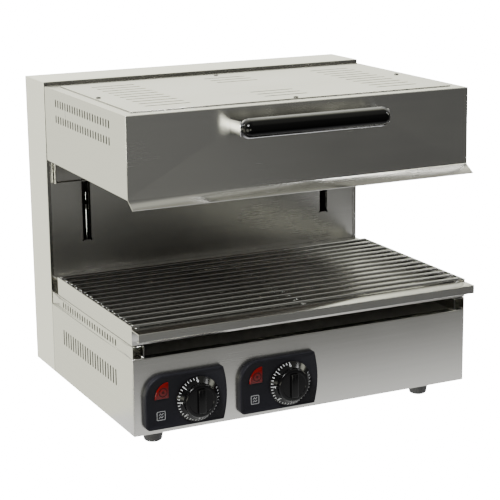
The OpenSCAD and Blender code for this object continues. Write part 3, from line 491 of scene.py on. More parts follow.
class Wiring:
    """A node tree under construction, with short ways to add to it."""

    def __init__(self, tree):
        self.nodes, self.links = tree.nodes, tree.links

    def add(self, kind, wired=(), **settings):
        """A node with its settings, whose inputs by name or number come from the wired sockets."""
        node = self.nodes.new(kind)
        for key, value in settings.items():
            setattr(node, key, value)
        for key, socket in dict(wired).items():
            self.links.new(socket, node.inputs[key])
        return node

    def spread(self, source, low, high, start=0.25, end=0.75, **settings):
        """Maps the values from start to end, where most of a noise lies, to those from low to high."""
        node = self.add("ShaderNodeMapRange", {"Value": source}, **settings)
        for key, value in (("From Min", start), ("From Max", end), ("To Min", low), ("To Max", high)):
            node.inputs[key].default_value = value
        return node.outputs[0]

    def sum(self, a, b):
        return self.add("ShaderNodeMath", {0: a, 1: b}, operation="ADD").outputs[0]

    def product(self, a, b):
        return self.add("ShaderNodeMath", {0: a, 1: b}, operation="MULTIPLY").outputs[0]


def open_tree(name, **inputs):
    """A Geometry Nodes tree for copies of a piece: the tree, its wiring and what it is given.

    It has the named inputs beside the geometry, the piece and the material.
    """
    tree = bpy.data.node_groups.new(name, "GeometryNodeTree")
    given = {"Geometry": "Geometry", "Piece": "Object", "Material": "Material", **inputs}
    for label, kind in given.items():
        label = label.replace("_", " ")
        tree.interface.new_socket(label, in_out="INPUT", socket_type="NodeSocket" + kind)
    tree.interface.new_socket("Geometry", in_out="OUTPUT", socket_type="NodeSocketGeometry")
    wiring = Wiring(tree)
    return tree, wiring, wiring.add("NodeGroupInput").outputs


def close_tree(wiring, given, points, turn=None):
    """Puts the piece on the points and ends the tree in Realize Instances and Set Material."""
    piece = wiring.add("GeometryNodeObjectInfo", {"Object": given["Piece"]})
    placed = {"Points": points, "Instance": piece.outputs["Geometry"]}
    if turn is not None:
        placed["Rotation"] = turn
    copies = wiring.add("GeometryNodeInstanceOnPoints", placed)
    real = wiring.add("GeometryNodeRealizeInstances", {0: copies.outputs[0]})
    paint = wiring.add("GeometryNodeSetMaterial", {
        "Geometry": real.outputs[0], "Material": given["Material"],
    })
    wiring.add("NodeGroupOutput", {0: paint.outputs[0]})


def row_tree():
    """Copies of a piece in a straight row."""
    tree, wiring, given = open_tree("Row of copies", Count="Int", Start="Vector", Step="Vector")
    line = wiring.add("GeometryNodeMeshLine", {
        "Count": given["Count"], "Start Location": given["Start"], "Offset": given["Step"],
    }, mode="OFFSET")
    close_tree(wiring, given, line.outputs[0])
    return tree


def fan_tree():
    """Copies of a piece turned in equal steps round the Y axis through a centre."""
    tree, wiring, given = open_tree(
        "Fan of copies", Count="Int", Centre="Vector", First_angle="Float", Step_angle="Float"
    )
    line = wiring.add("GeometryNodeMeshLine", {
        "Count": given["Count"], "Start Location": given["Centre"],
    }, mode="OFFSET")
    line.inputs["Offset"].default_value = (0, 0, 0)
    index = wiring.add("GeometryNodeInputIndex").outputs[0]
    angle = wiring.add("ShaderNodeMath", {
        0: index, 1: given["Step angle"], 2: given["First angle"],
    }, operation="MULTIPLY_ADD")
    turn = wiring.add("ShaderNodeCombineXYZ", {"Y": angle.outputs[0]})
    close_tree(wiring, given, line.outputs[0], turn.outputs[0])
    return tree


def spot_tree():
    """A copy of a piece on each point of the object's own mesh."""
    tree, wiring, given = open_tree("Copies at spots", Turn="Vector")
    close_tree(wiring, given, given["Geometry"], given["Turn"])
    return tree


def grow(name, make_tree, points=(), **values):
    """Runs a tree on an object with the given points and returns the plain mesh object."""
    bm = bmesh.new()
    for p in points:
        bm.verts.new(p)
    draft = new_object(name + "_draft", mesh_of(name, bm))
    mod = draft.modifiers.new("Copies", "NODES")
    mod.node_group = make_tree()
    for item in mod.node_group.interface.items_tree:
        key = item.name.replace(" ", "_")
        if item.in_out == "INPUT" and key in values:
            mod[item.identifier] = values[key]
    return settled(name, draft)


# ---- finishes -------------------------------------------------------------


class Finish(Wiring):
    """A material under construction."""

    def __init__(self, name, colour, metallic=0.0, rough=0.5, **fixed):
        self.material = bpy.data.materials.new(name)
        self.material.use_nodes = True
        self.material.diffuse_color = (*colour, 1.0)
        super().__init__(self.material.node_tree)
        self.shader = self.nodes["Principled BSDF"]
        self.colour = colour
        fixed.update(Base_Color=(*colour, 1.0), Metallic=metallic, Roughness=rough)
        for socket, value in fixed.items():
            self.shader.inputs[socket.replace("_", " ")].default_value = value

    def coords(self, scale=1.0, uv=False):
        """Object coordinates, or the grain map, times a scale for all axes or one for each."""
        if uv:
            source = self.add("ShaderNodeUVMap", uv_map="grain").outputs[0]
        else:
            source = self.add("ShaderNodeTexCoord").outputs["Object"]
        turn = self.add("ShaderNodeMapping", {"Vector": source})
        turn.inputs["Scale"].default_value = scale if isinstance(scale, tuple) else (scale,) * 3
        return turn.outputs[0]

    def noise(self, scale, uv=False, detail=2.0, rough=0.5):
        """A cloudy value round 0.5."""
        tex = self.add("ShaderNodeTexNoise", {"Vector": self.coords(scale, uv)})
        for key, value in (("Scale", 1.0), ("Detail", detail), ("Roughness", rough)):
            tex.inputs[key].default_value = value
        return tex.outputs[0]

    def colour_from(self, socket):
        self.links.new(socket, self.shader.inputs["Base Color"])

    def roughness_from(self, socket):
        self.links.new(socket, self.shader.inputs["Roughness"])

    def ramp(self, factor, colours, places=(0.0, 1.0)):
        """Base colour between two colours, which stand at two places of the factor's range."""
        ramp = self.add("ShaderNodeValToRGB", {0: factor})
        for element, colour, place in zip(ramp.color_ramp.elements, colours, places):
            element.color = (*colour, 1.0)
            element.position = place
        self.colour_from(ramp.outputs[0])

    def tone(self, factor, dark, light):
        """Base colour between two shades of the finish's colour."""
        self.ramp(factor, [[min(c * shade, 1.0) for c in self.colour] for shade in (dark, light)])

    def stained(self, colour, cloud):
        """Turns the base colour to a dark painted-shade colour where the mesh's shade_paint attribute is
        set, unevenly.
        """
        where = self.add("ShaderNodeAttribute", attribute_name="shade_paint").outputs["Fac"]
        clean = self.shader.inputs["Base Color"].links[0].from_socket
        mix = self.add("ShaderNodeMix", {
            "Factor": self.product(where, self.spread(cloud, 0.7, 1.0)), "A": clean,
        }, data_type="RGBA")
        mix.inputs["B"].default_value = (*colour, 1.0)
        self.colour_from(mix.outputs["Result"])

    def bump(self, height, strength, distance=0.0001):
        node = self.add("ShaderNodeBump", {"Height": height})
        node.inputs["Strength"].default_value = strength
        node.inputs["Distance"].default_value = distance
        self.links.new(node.outputs[0], self.shader.inputs["Normal"])

    def glow(self, strength):
        """White light that the surface gives off, of a strength or a wired one."""
        self.shader.inputs["Emission Color"].default_value = (1, 1, 1, 1)
        if isinstance(strength, float):
            self.shader.inputs["Emission Strength"].default_value = strength
        else:
            self.links.new(strength, self.shader.inputs["Emission Strength"])


def brushed(name, colour, rough):
    """Brushed stainless sheet: fine lines along the grain, broader bands and faint smudges."""
    f = Finish(name, colour, metallic=1.0, rough=rough, Anisotropic=0.55, Anisotropic_Rotation=0.25)
    streak = 0.015
    line = f.noise((5.0, 900.0, 1.0), uv=True, detail=3.0, rough=0.65)
    band = f.noise((0.8, 120.0, 1.0), uv=True)
    cloud = f.noise((4.0, 6.0, 6.0), uv=True, detail=3.0, rough=0.6)
    rise = f.sum(f.spread(line, -streak, streak), f.spread(band, -streak * 0.3, streak * 0.3))
    f.roughness_from(f.sum(rise, f.spread(cloud, rough - 0.03, rough + 0.05)))
    f.tone(f.sum(f.spread(line, 0.0, 0.6), f.spread(band, 0.0, 0.4)), 0.96, 1.03)
    f.bump(band, 0.002)
    # Painted shade: faces marked with shade_paint (hole walls, the pan's well, the column's front flange)
    # turn dark grey.
    f.stained((0.16, 0.155, 0.145), cloud)
    tangent = f.add("ShaderNodeTangent", direction_type="UV_MAP", uv_map="grain")
    f.links.new(tangent.outputs[0], f.shader.inputs["Tangent"])
    return f.material


def drawn(name, colour, rough, crown=None, rim=None):
    """Bright drawn or ground metal with faint marks.

    Crown is the middle height and half width of a bowed strip, rim the colour of the painted shade laid
    where the mesh's shade_paint attribute is set.
    """
    f = Finish(name, colour, metallic=1.0, rough=rough)
    mark = f.noise(260.0, detail=3.0)
    cloud = f.noise(30.0)
    f.roughness_from(f.sum(f.spread(mark, -0.03, 0.05), f.spread(cloud, rough - 0.02, rough + 0.05)))
    f.tone(cloud, 0.90, 1.05)
    # Painted shade in the rim colour on the marked faces.
    if rim:
        f.stained(rim, cloud)
    if crown:
        middle, half = crown
        height = f.add("ShaderNodeSeparateXYZ", {0: f.coords()}).outputs["Z"]
        off = f.spread(height, -1.0, 1.0, middle - half, middle + half)
        f.bump(f.spread(f.product(off, off), 1.0, 0.0, 0.0, 1.0), 1.0, distance=0.0045)
    else:
        f.bump(mark, 0.06)
    return f.material


def moulded(name, colour, rough, grain=1400.0, depth=0.18, shine=0.5):
    """Moulded plastic or rubber with a fine eroded grain and slight cloudiness."""
    f = Finish(name, colour, rough=rough, Specular_IOR_Level=shine)
    pit = f.noise(grain)
    cloud = f.noise(22.0, detail=3.0, rough=0.6)
    f.roughness_from(f.sum(f.spread(pit, -0.05, 0.05), f.spread(cloud, rough - 0.03, rough + 0.04)))
    f.tone(cloud, 0.86, 1.12)
    f.bump(pit, depth)
    return f.material


def plated(name, colour, rough):
    """Zinc-plated or galvanised sheet with a soft spangle."""
    f = Finish(name, colour, metallic=0.9, rough=rough)
    cell = f.add("ShaderNodeTexVoronoi", {"Vector": f.coords(120.0)})
    cell.inputs["Scale"].default_value = 1.0
    spangle = cell.outputs["Distance"]
    cloud = f.noise(35.0, detail=3.0)
    f.tone(f.sum(f.spread(spangle, 0.0, 0.5), f.spread(cloud, 0.0, 0.5)), 0.82, 1.1)
    f.roughness_from(f.sum(f.spread(cloud, -0.06, 0.06), f.spread(spangle, rough, rough + 0.08)))
    return f.material


def heat_stained(name, cool, hot, rough, span):
    """Bright sheet that heat has turned straw and blue in patches."""
    f = Finish(name, cool, metallic=1.0, rough=rough)
    cloud = f.noise((span, span, span * 2), detail=4.0, rough=0.6)
    fine = f.noise(400.0)
    f.ramp(cloud, (cool, hot), (0.35, 0.72))
    f.roughness_from(f.sum(f.spread(fine, -0.04, 0.04), f.spread(cloud, rough, rough + 0.12)))
    f.bump(fine, 0.1)
    return f.material


def red_glass(name, colour):
    """Clear red indicator lens."""
    f = Finish(name, colour, rough=0.2, Specular_IOR_Level=0.3)
    cloud = f.noise(160.0)
    f.tone(cloud, 0.7, 1.2)
    f.roughness_from(f.spread(cloud, 0.1, 0.2))
    return f.material


def fibre(name, colour):
    """Needled mineral-fibre felt."""
    f = Finish(name, colour, rough=0.95, Sheen_Weight=0.3)
    hair = f.noise((900.0, 900.0, 200.0), detail=5.0, rough=0.7)
    lump = f.noise(45.0, detail=3.0)
    f.tone(f.sum(f.spread(hair, 0.0, 0.6), f.spread(lump, 0.0, 0.4)), 0.78, 1.08)
    f.bump(hair, 0.5, distance=0.0006)
    return f.material


FINISHES = {}  # filled by make_finishes


def strap_crown():
    """Middle height and half width of the handle's strap."""
    low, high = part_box("handle_strap")
    return (low.z + high.z) / 2, (high.z - low.z) / 2


def make_finishes():
    """Fills FINISHES with every finish of the machine by name."""
    sheet = bpy.context.scene.melter_sheet
    control = bpy.context.scene.melter_control
    tint = tuple(sheet.tint)

    def tinted(share):
        return tuple(c * share for c in tint)

    FINISHES.update({
        "steel": brushed("brushed stainless", tint, sheet.rough),
        # Painted light: a copy of the steel 35 per cent brighter, for the column's side sheet.
        "steel_lit_copy": brushed("brushed column sheet", tinted(1.35), sheet.rough),
        "steel_inner": brushed("matt stainless", tinted(0.8), sheet.rough + 0.3),
        "wire": drawn("bright wire", (0.46, 0.46, 0.45), 0.13),
        "chrome": drawn("polished nut", (0.75, 0.75, 0.76), 0.07),
        # The strap's and the screws' rim colours are painted shade, on the faces that their meshes mark.
        "strap": drawn("polished strap", (0.75, 0.75, 0.76), 0.06, crown=strap_crown(),
                       rim=(0.06, 0.058, 0.055)),
        "ground": drawn("ground bar", (0.62, 0.64, 0.68), 0.18),
        "screw": drawn("screw steel", (0.62, 0.62, 0.60), 0.14, rim=(0.05, 0.048, 0.045)),
        "black_paint": moulded("satin black paint", (0.020, 0.020, 0.022), 0.36, grain=700.0, depth=0.1),
        "bezel": moulded("bezel moulding", tuple(control.plastic), 0.34, grain=1800.0, depth=0.08,
                         shine=0.08),
        "knob": moulded("knob moulding", (0.003, 0.003, 0.0032), 0.15, grain=1500.0, depth=0.03,
                        shine=0.25),
        "grip": moulded("gloss grip", (0.0015, 0.0015, 0.0015), 0.09, grain=500.0, depth=0.01,
                        shine=0.2),
        "ink": moulded("printed mark", tuple(control.ink), 0.4, grain=2500.0, depth=0.05),
        "lens": red_glass("indicator lens", tuple(control.lens)),
        "lens_deep": red_glass("indicator lens ring", (0.045, 0.001, 0.001)),
        "white": moulded("phenolic moulding", (0.74, 0.71, 0.64), 0.45),
        "rubber": moulded("foot rubber", (0.050, 0.050, 0.052), 0.62, grain=1100.0, depth=0.25),
        "nylon": moulded("gland nylon", (0.028, 0.028, 0.030), 0.48),
        "bronze": drawn("sintered bronze", (0.50, 0.34, 0.18), 0.34),
        "zinc": plated("zinc plate", (0.46, 0.48, 0.49), 0.34),
        "galvanised": plated("galvanised sheet", (0.52, 0.54, 0.55), 0.38),
        # Painted shade: the felt's colour is darkened to stand for the shade inside the hood.
        "fibre": fibre("mineral fibre", (0.30, 0.28, 0.24)),
        "reflector": heat_stained("stained reflector", (0.36, 0.34, 0.31), (0.22, 0.15, 0.09),
                                  0.26, 9.0),
        "sheath": heat_stained("tube sheath", (0.16, 0.14, 0.13), (0.22, 0.17, 0.13), 0.42, 30.0),
    })


# ---- operators ------------------------------------------------------------


class PieceOperator:
    """Shared part of the operators that make pieces."""

    bl_options = {"REGISTER", "UNDO"}

    def execute(self, context):
        self.make(context)
        return {"FINISHED"}


class MELTER_OT_column(PieceOperator, bpy.types.Operator):
    """Make the rear column's side sheet, slotted front sheet and rear cover"""

    bl_idname = "melter.column"
    bl_label = "Column"

    def make(self, context):
        shell = sheet_piece("column_shell", FINISHES["steel_lit_copy"], fold=0.0012)
        # Painted shade: the column sheet's front-facing flange is turned most of the way to the dark
        # colour.
        set_stain(shell, lambda face: 0.9 if face.normal.y < -0.9 else None)
        sheet_piece("column_front", FINISHES["steel"], panel=0.006)
        sheet_piece("rear_cover", FINISHES["steel"])


class MELTER_OT_base(PieceOperator, bpy.types.Operator):
    """Make the base with its bottom plate, deck, ledge and pan runners"""

    bl_idname = "melter.base"
    bl_label = "Base"

    def make(self, context):
        sheet_piece("base_shell", FINISHES["steel"])
        sheet_piece("base_plate", FINISHES["galvanised"], least=0.08)
        sheet_piece("deck", FINISHES["steel_inner"])
        sheet_piece("ledge", FINISHES["steel"])
        for side in ("left", "right"):
            sheet_piece("runner_" + side, FINISHES["steel"], fold=0.0012, cut=0.0003)


class MELTER_OT_feet(PieceOperator, bpy.types.Operator):
    """Make the rubber feet and their bolts"""

    bl_idname = "melter.feet"
    bl_label = "Feet"

    def make(self, context):
        turned_piece("feet", FINISHES["rubber"])
        turned_piece("foot_bolts", FINISHES["screw"])


class MELTER_OT_hood(PieceOperator, bpy.types.Operator):
    """Make the hood's shell, slotted cover and back plate"""

    bl_idname = "melter.hood"
    bl_label = "Hood"

    def make(self, context):
        sheet_piece("hood_shell", FINISHES["steel"])
        sheet_piece("hood_cover", FINISHES["steel"], least=0.1)
        sheet_piece("hood_back", FINISHES["steel"])


class MELTER_OT_heating(PieceOperator, bpy.types.Operator):
    """Make the reflector, its insulation and the heating tubes with their bars"""

    bl_idname = "melter.heating"
    bl_label = "Heating"

    def make(self, context):
        sheet_piece("reflector", FINISHES["reflector"], fold=0.0012, cut=0.0003)
        turned_piece("heater_left", FINISHES["sheath"])
        turned_piece("heater_right", FINISHES["sheath"])
        turned_piece("heater_bars", FINISHES["screw"])
        wear(frame["nodes"]["blanket"], FINISHES["fibre"])


class MELTER_OT_lift(PieceOperator, bpy.types.Operator):
    """Finish the arms, struts, guide rods and carriage that carry the hood"""

    bl_idname = "melter.lift"
    bl_label = "Lift"

    def make(self, context):
        for side in ("left", "right"):
            sheet_piece("hood_arm_" + side, FINISHES["black_paint"], fold=0.001, cut=0.0005)
            turned_piece("strut_rod_" + side, FINISHES["ground"])
            wear(frame["nodes"]["strut_cylinder_" + side], FINISHES["black_paint"])
            wear(frame["nodes"]["guide_rod_" + side], FINISHES["ground"])
        turned_piece("strut_rings", FINISHES["black_paint"])
        turned_piece("strut_nuts", FINISHES["chrome"])
        for node, finish in (
            ("carriage", "zinc"), ("lower_crossbar", "zinc"), ("upper_crossbar", "zinc"),
            ("bushes", "bronze"), ("rod_collars", "black_paint"), ("stop_sleeves", "rubber"),
            ("strut_anchors", "zinc"), ("strut_pins", "screw"),
        ):
            wear(frame["nodes"][node], FINISHES[finish])


class MELTER_OT_pan(PieceOperator, bpy.types.Operator):
    """Make the pressed drip pan with its folded front lip and raised side edges"""

    bl_idname = "melter.pan"
    bl_label = "Drip pan"

    def make(self, context):
        low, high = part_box("drip_pan")
        edge_t, edge_up, lip_reach = 0.0012, 0.0045, 0.028
        strips = [
            ((x, low.y + lip_reach, high.z - edge_t / 2), (x + edge_t, high.y, high.z + edge_up))
            for x in (low.x, high.x - edge_t)
        ]
        pan = sheet_piece("drip_pan", FINISHES["steel"], panel=0.0042, fold=0.0009, cut=0.0003,
                          more=("pan_skirts",), strips=strips)
        # Painted shade: the inside of the pan's well, under the hood, is turned halfway to the dark
        # colour.
        side, front, rim_t, well_shade = 0.0045, 0.031, 0.0005, 0.5

        def well_stain(face):
            x, y, z = face.center
            in_well = abs(x) < high.x - side and y > low.y + front and z < high.z - rim_t
            return well_shade if in_well and face.normal.z > -0.5 else None

        set_stain(pan, well_stain)


class MELTER_OT_grid(PieceOperator, bpy.types.Operator):
    """Make the wire grid: round-ended rods welded across three bars"""

    bl_idname = "melter.grid"
    bl_label = "Grid"

    def make(self, context):
        s = context.scene.melter_grid
        low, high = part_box("cooking_grid")
        rod_r, end_gap, weld, cross_x = 0.003, 0.0003, 0.0005, 0.2885
        z_rod = high.z - rod_r
        y_first = low.y + end_gap + rod_r
        y_last = high.y - end_gap - rod_r
        pitch = (y_last - y_first) / (s.rods - 1)
        end = [(rod_r - s.end_round + s.end_round * math.sin(a), s.end_round * (1 - math.cos(a)))
               for a in angles(0, 90, 6)]

        def rod(name, length, turn_axis):
            """A round-ended rod that lies with its middle at the origin."""
            profile = [(0.0, 0.0)] + end + [(r, length - z) for r, z in end[::-1]] + [(0.0, length)]
            turn = Matrix.Rotation(math.radians(90), 4, turn_axis)
            return shaded(name, moved(lathe(profile, 20), turn @ Matrix.Translation((0, 0, -length / 2))))

        across = rod("rod_pattern", high.x - low.x, "Y")
        along = rod("bar_pattern", high.y - low.y, "X")
        bead_top = [(0.0030, 0.0), (0.0022, 0.0008), (0.0, 0.0012)]
        bead_under = [(r, -z) for r, z in bead_top[:0:-1]]
        bead = shaded("bead_pattern", lathe(bead_under + bead_top, 12))
        wire = FINISHES["wire"]
        top = grow("grid_rods", row_tree, Piece=across, Count=s.rods, Material=wire,
                   Start=((low.x + high.x) / 2, y_first, z_rod), Step=(0, pitch, 0))
        z_bar = z_rod - 2 * rod_r + weld
        under = grow("grid_bars", row_tree, Piece=along, Count=3, Material=wire,
                     Start=(-cross_x, (low.y + high.y) / 2, z_bar), Step=(cross_x, 0, 0))
        spots = [(x, y_first + k * pitch, z_rod - rod_r + weld / 2)
                 for x in (-cross_x, 0, cross_x) for k in range(s.rods)]
        beads = grow("grid_welds", spot_tree, points=spots, Piece=bead, Turn=(0, 0, 0), Material=wire)
        for piece in (top, under, beads):
            settle_piece(piece, "cooking_grid", wire)
        for ob in (across, along, bead):
            bpy.data.objects.remove(ob)


def bezel_outline(inset, w, h):
    """Points of a bezel's outline, counterclockwise from its lower left corner.

    The upper left corner is big and round, the others are small, and the right side is bowed.
    """
    big, small, least, bow = 0.034, 0.008, 0.0002, 0.006
    side_steps = 12
    bow_r = (h * h / 4 + bow * bow) / (2 * bow)
    corners = [
        (small, small, small, 180, 270), (w - small, small, small, 270, 360),
        (w - small, h - small, small, 0, 90), (big, h - big, big, 90, 180),
    ]
    points = []
    for cx, cz, r, a0, a1 in corners:
        corner_r = max(r - inset, least)
        points += [[cx + corner_r * math.cos(a), cz + corner_r * math.sin(a)]
                   for a in angles(a0, a1, 10)]
        if a1 == 360:
            points += [[w - inset, small + (h - 2 * small) * i / side_steps]
                       for i in range(1, side_steps)]
    for p in points:
        edge = w - bow_r + math.sqrt(max(bow_r ** 2 - (p[1] - h / 2) ** 2, 0.0)) - inset
        p[0] = min(p[0], edge)
    return points


class MELTER_OT_bezels(PieceOperator, bpy.types.Operator):
    """Make the two control bezels with their lenses and printed marks"""

    bl_idname = "melter.bezels"
    bl_label = "Bezels"
    dish = 0.0006  # how far a bezel's middle lies behind its border

    def make(self, context):
        for side in ("left", "right"):
            self.bezel(side)
            self.lens(side)
            self.mark(side)

    def bezel(self, side):
        """A rounded plate with a raised border round its sunken middle."""
        low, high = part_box("bezel_" + side)
        w, h, t = high.x - low.x, high.z - low.z, high.y - low.y
        edge, border, slope = 0.0013, 0.0038, 0.0007
        levels = [(0.0, 0.0)]
        levels += [(edge * (1 - math.cos(a)), t - edge + edge * math.sin(a)) for a in angles(0, 90, 6)]
        levels += [(border, t), (border + slope, t - self.dish)]
        rings = [
            [(low.x + x, high.y - out, low.z + z) for x, z in bezel_outline(inset, w, h)]
            for inset, out in levels
        ]
        ob = shaded("bezel_%s_moulding" % side, loft(rings), 50)
        settle_piece(ob, "bezel_" + side, FINISHES["bezel"])

    def lens(self, side):
        """A quarter of a disc, squeezed sideways, with a ring and a dot on its face."""
        low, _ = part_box("bezel_" + side)
        corner_x, corner_z = low.x + 0.0385, low.z + 0.049
        r, squeeze = 0.0259, 0.89
        proud, depth, edge = 0.0006, 0.004, 0.0008
        face, shoulder = low.y - proud, edge * SHOULDER
        rings = []
        for inset, y in (
            (0.0, face + depth), (0.0, face + edge), (shoulder, face + shoulder), (edge, face)
        ):
            ring = [(corner_x - inset, y, corner_z + inset)]
            for a in angles(90, 180, 24):
                x = min(corner_x + squeeze * (r - inset) * math.cos(a), corner_x - inset)
                z = max(corner_z + (r - inset) * math.sin(a), corner_z + inset)
                ring.append((x, y, z))
            rings.append(ring)
        ob = shaded("lens_%s_moulding" % side, loft(rings), 25)
        settle_piece(ob, "lens_" + side, FINISHES["lens"])

        ring_r, hole_r, dot_r, sunk, raised = 0.0075, 0.0058, 0.0022, 0.0002, 0.0001
        centre = Vector((corner_x - 0.36 * r, face, corner_z + 0.4 * r))
        to_face = Matrix.Translation(centre) @ TO_FRONT
        section = [(hole_r, -sunk), (ring_r, -sunk), (ring_r, raised), (hole_r, raised), (hole_r, -sunk)]
        ring = lathe(section, 32, cap=False)
        dot = lathe([(0.0, -sunk), (dot_r, -sunk), (dot_r, raised), (0.0, raised)], 24)
        ob = joined("lens_%s_ring" % side, [moved(ring, to_face), moved(dot, to_face)])
        smooth(ob.data, 30)
        settle_piece(ob, "lens_" + side, FINISHES["lens_deep"], replaces=[])

    def mark(self, side):
        """A rounded square with a flame-like zigzag, as thin raised print."""
        low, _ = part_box("bezel_" + side)
        middle_x, middle_z = low.x + 0.0255, low.z + 0.022
        sunk, raised = 0.0002, 0.00015
        y0, y1 = low.y + self.dish + sunk, low.y + self.dish - raised
        half, line, r = 0.0072, 0.0008, 0.0018
        outer, inner = [], []
        for cx, cz, start in ((1, 1, 0), (-1, 1, 90), (-1, -1, 180), (1, -1, 270)):
            for a in angles(start, start + 90, 4):
                for ring, corner_r in ((outer, r), (inner, r - line)):
                    ring.append((middle_x + cx * (half - r) + corner_r * math.cos(a),
                                 middle_z + cz * (half - r) + corner_r * math.sin(a)))
        rings = [[(x, y, z) for x, z in points] for points, y in
                 ((outer, y0), (outer, y1), (inner, y1), (inner, y0), (outer, y0))]
        parts = [loft(rings, close=False)]
        zigzag = [(-0.0034, -0.0036), (-0.0010, -0.0010), (0.0010, -0.0036), (0.0034, -0.0010)]
        overlap = line / 2
        for lift in (0.0, 0.0046):
            for (xa, za), (xb, zb) in zip(zigzag, zigzag[1:]):
                a = Vector((middle_x + xa, 0, middle_z + za + lift))
                b = Vector((middle_x + xb, 0, middle_z + zb + lift))
                span = b - a
                bar = slab((-overlap, y1, -line / 2), (span.length + overlap, y0, line / 2))
                turn = Matrix.Rotation(-math.atan2(span.z, span.x), 4, "Y")
                parts.append(moved(bar, Matrix.Translation(a) @ turn))
        name = "bezel_%s_mark" % side
        ob = new_object(name, mesh_of(name, closed_up(merged(parts))))
        settle_piece(ob, "bezel_" + side, FINISHES["ink"], replaces=[])


class MELTER_OT_knobs(PieceOperator, bpy.types.Operator):
    """Make the control knobs with their dial ticks and numbers"""

    bl_idname = "melter.knobs"
    bl_label = "Knobs"
    r_cap = 0.027
    edge, cone_top, foot = 0.0016, 0.008, 0.0012  # height of the skirt's rim, top and foot of its cone
    line_up = 0.0003  # how far the pointer line stands up from the grip bar

    def make(self, context):
        for side in ("left", "right"):
            self.knob(context, side)
            wear(frame["nodes"]["shaft_" + side], FINISHES["screw"])
            wear(frame["nodes"]["regulator_" + side], FINISHES["white"])

    def knob(self, context, side):
        """A cap with a grip bar, on a sloping skirt that carries the printed scale."""
        node = "knob_" + side
        low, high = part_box(node)
        centre = (low + high) / 2
        seat = Vector((centre.x, high.y, centre.z))
        to_place = Matrix.Translation(seat) @ TO_FRONT
        r_dial, deep = (high.x - low.x) / 2, high.y - low.y
        self.moulding(node, to_place, r_dial, deep)
        self.scale(context.scene.melter_control, node, seat, to_place, r_dial)
        self.pointer(node, to_place, deep)

    def moulding(self, node, to_place, r_dial, deep):
        edge, cone_top, r_cap = self.edge, self.cone_top, self.r_cap
        face = deep - 0.004
        soft, round_r = 0.0004, 0.0028
        dish_r, dish = r_cap - 0.006, 0.0006
        profile = [(0.0, 0.0), (r_dial - soft, 0.0), (r_dial, soft), (r_dial, edge - soft),
                   (r_dial - 0.0005, edge)]
        profile += [(r_cap + self.foot, cone_top - 0.0002), (r_cap + soft, cone_top + 0.0006)]
        profile += [(r_cap - round_r + round_r * math.cos(a), face - round_r + round_r * math.sin(a))
                    for a in angles(0, 90, 9)]
        profile += [(dish_r, face), (dish_r - dish, face - dish), (0.0, face - dish)]
        body = lathe(profile, 96)
        half_w, half_l, sunk, bar_edge = 0.0062, r_cap - 0.0075, 0.002, 0.0016
        bar = slab((-half_w, -half_l, face - sunk), (half_w, half_l, deep - self.line_up), bar_edge, 4)
        ob = joined(node + "_moulding", [moved(body, to_place), moved(bar, to_place)])
        smooth(ob.data, 35)
        settle_piece(ob, node, FINISHES["knob"])

    def scale(self, s, node, seat, to_place, r_dial):
        """Raised ticks and numbers on the skirt's cone."""
        slope = math.atan2(self.cone_top - self.edge, r_dial - self.r_cap - self.foot)
        lean = Matrix.Rotation(slope, 4, "Y")
        proud, sunk = 0.00012, 0.0003

        def cone_height(radius):
            return self.edge + (r_dial - radius) * math.tan(slope)

        half_l, half_w, tick_r = 0.0018, 0.0006, r_dial - 0.0026
        tick = slab((-half_l, -half_w, -sunk), (half_l, half_w, proud))
        moved(tick, Matrix.Translation((tick_r, 0, cone_height(tick_r))) @ lean)
        first = math.radians(-94)
        step = -s.sweep / (s.ticks - 1)
        small = shaded("tick_pattern", moved(tick, TO_FRONT))
        marks = grow(node + "_ticks", fan_tree, Piece=small, Count=s.ticks, Centre=tuple(seat),
                     First_angle=first, Step_angle=step, Material=FINISHES["ink"])
        settle_piece(marks, node, FINISHES["ink"], replaces=[])
        bpy.data.objects.remove(small)

        number_r, ticks_each = self.r_cap + 0.0036, 5
        upright = Matrix.Rotation(math.radians(-90), 4, "Z")
        on_cone = Matrix.Translation((number_r, 0, cone_height(number_r) + proud)) @ lean @ upright
        numbers = [
            moved(numeral(i // ticks_each),
                  to_place @ Matrix.Rotation(-first - step * i, 4, "Z") @ on_cone)
            for i in range(0, s.ticks, ticks_each)
        ]
        ob = joined(node + "_numbers", numbers)
        settle_piece(ob, node, FINISHES["ink"], replaces=[])

    def pointer(self, node, to_place, deep):
        half_w, start, end, soft = 0.0006, 0.009, 0.0185, 0.0001
        line = slab((-half_w, start, deep - 2 * self.line_up), (half_w, end, deep), soft)
        ob = joined(node + "_pointer", [moved(line, to_place)])
        settle_piece(ob, node, FINISHES["knob"], replaces=[])


def numeral(number):
    """A bmesh of a printed number, centred on the origin."""
    curve = bpy.data.curves.new("numeral", "FONT")
    curve.body = str(number)
    curve.size = 0.0064
    curve.offset = 0.00022
    curve.extrude = 0.00016
    curve.align_x = "CENTER"
    curve.align_y = "CENTER"
    curve.resolution_u = 3
    made = settled("numeral", new_object("numeral", curve))
    bm = bmesh.new()
    bm.from_mesh(made.data)
    bpy.data.objects.remove(made)
    return closed_up(bm)


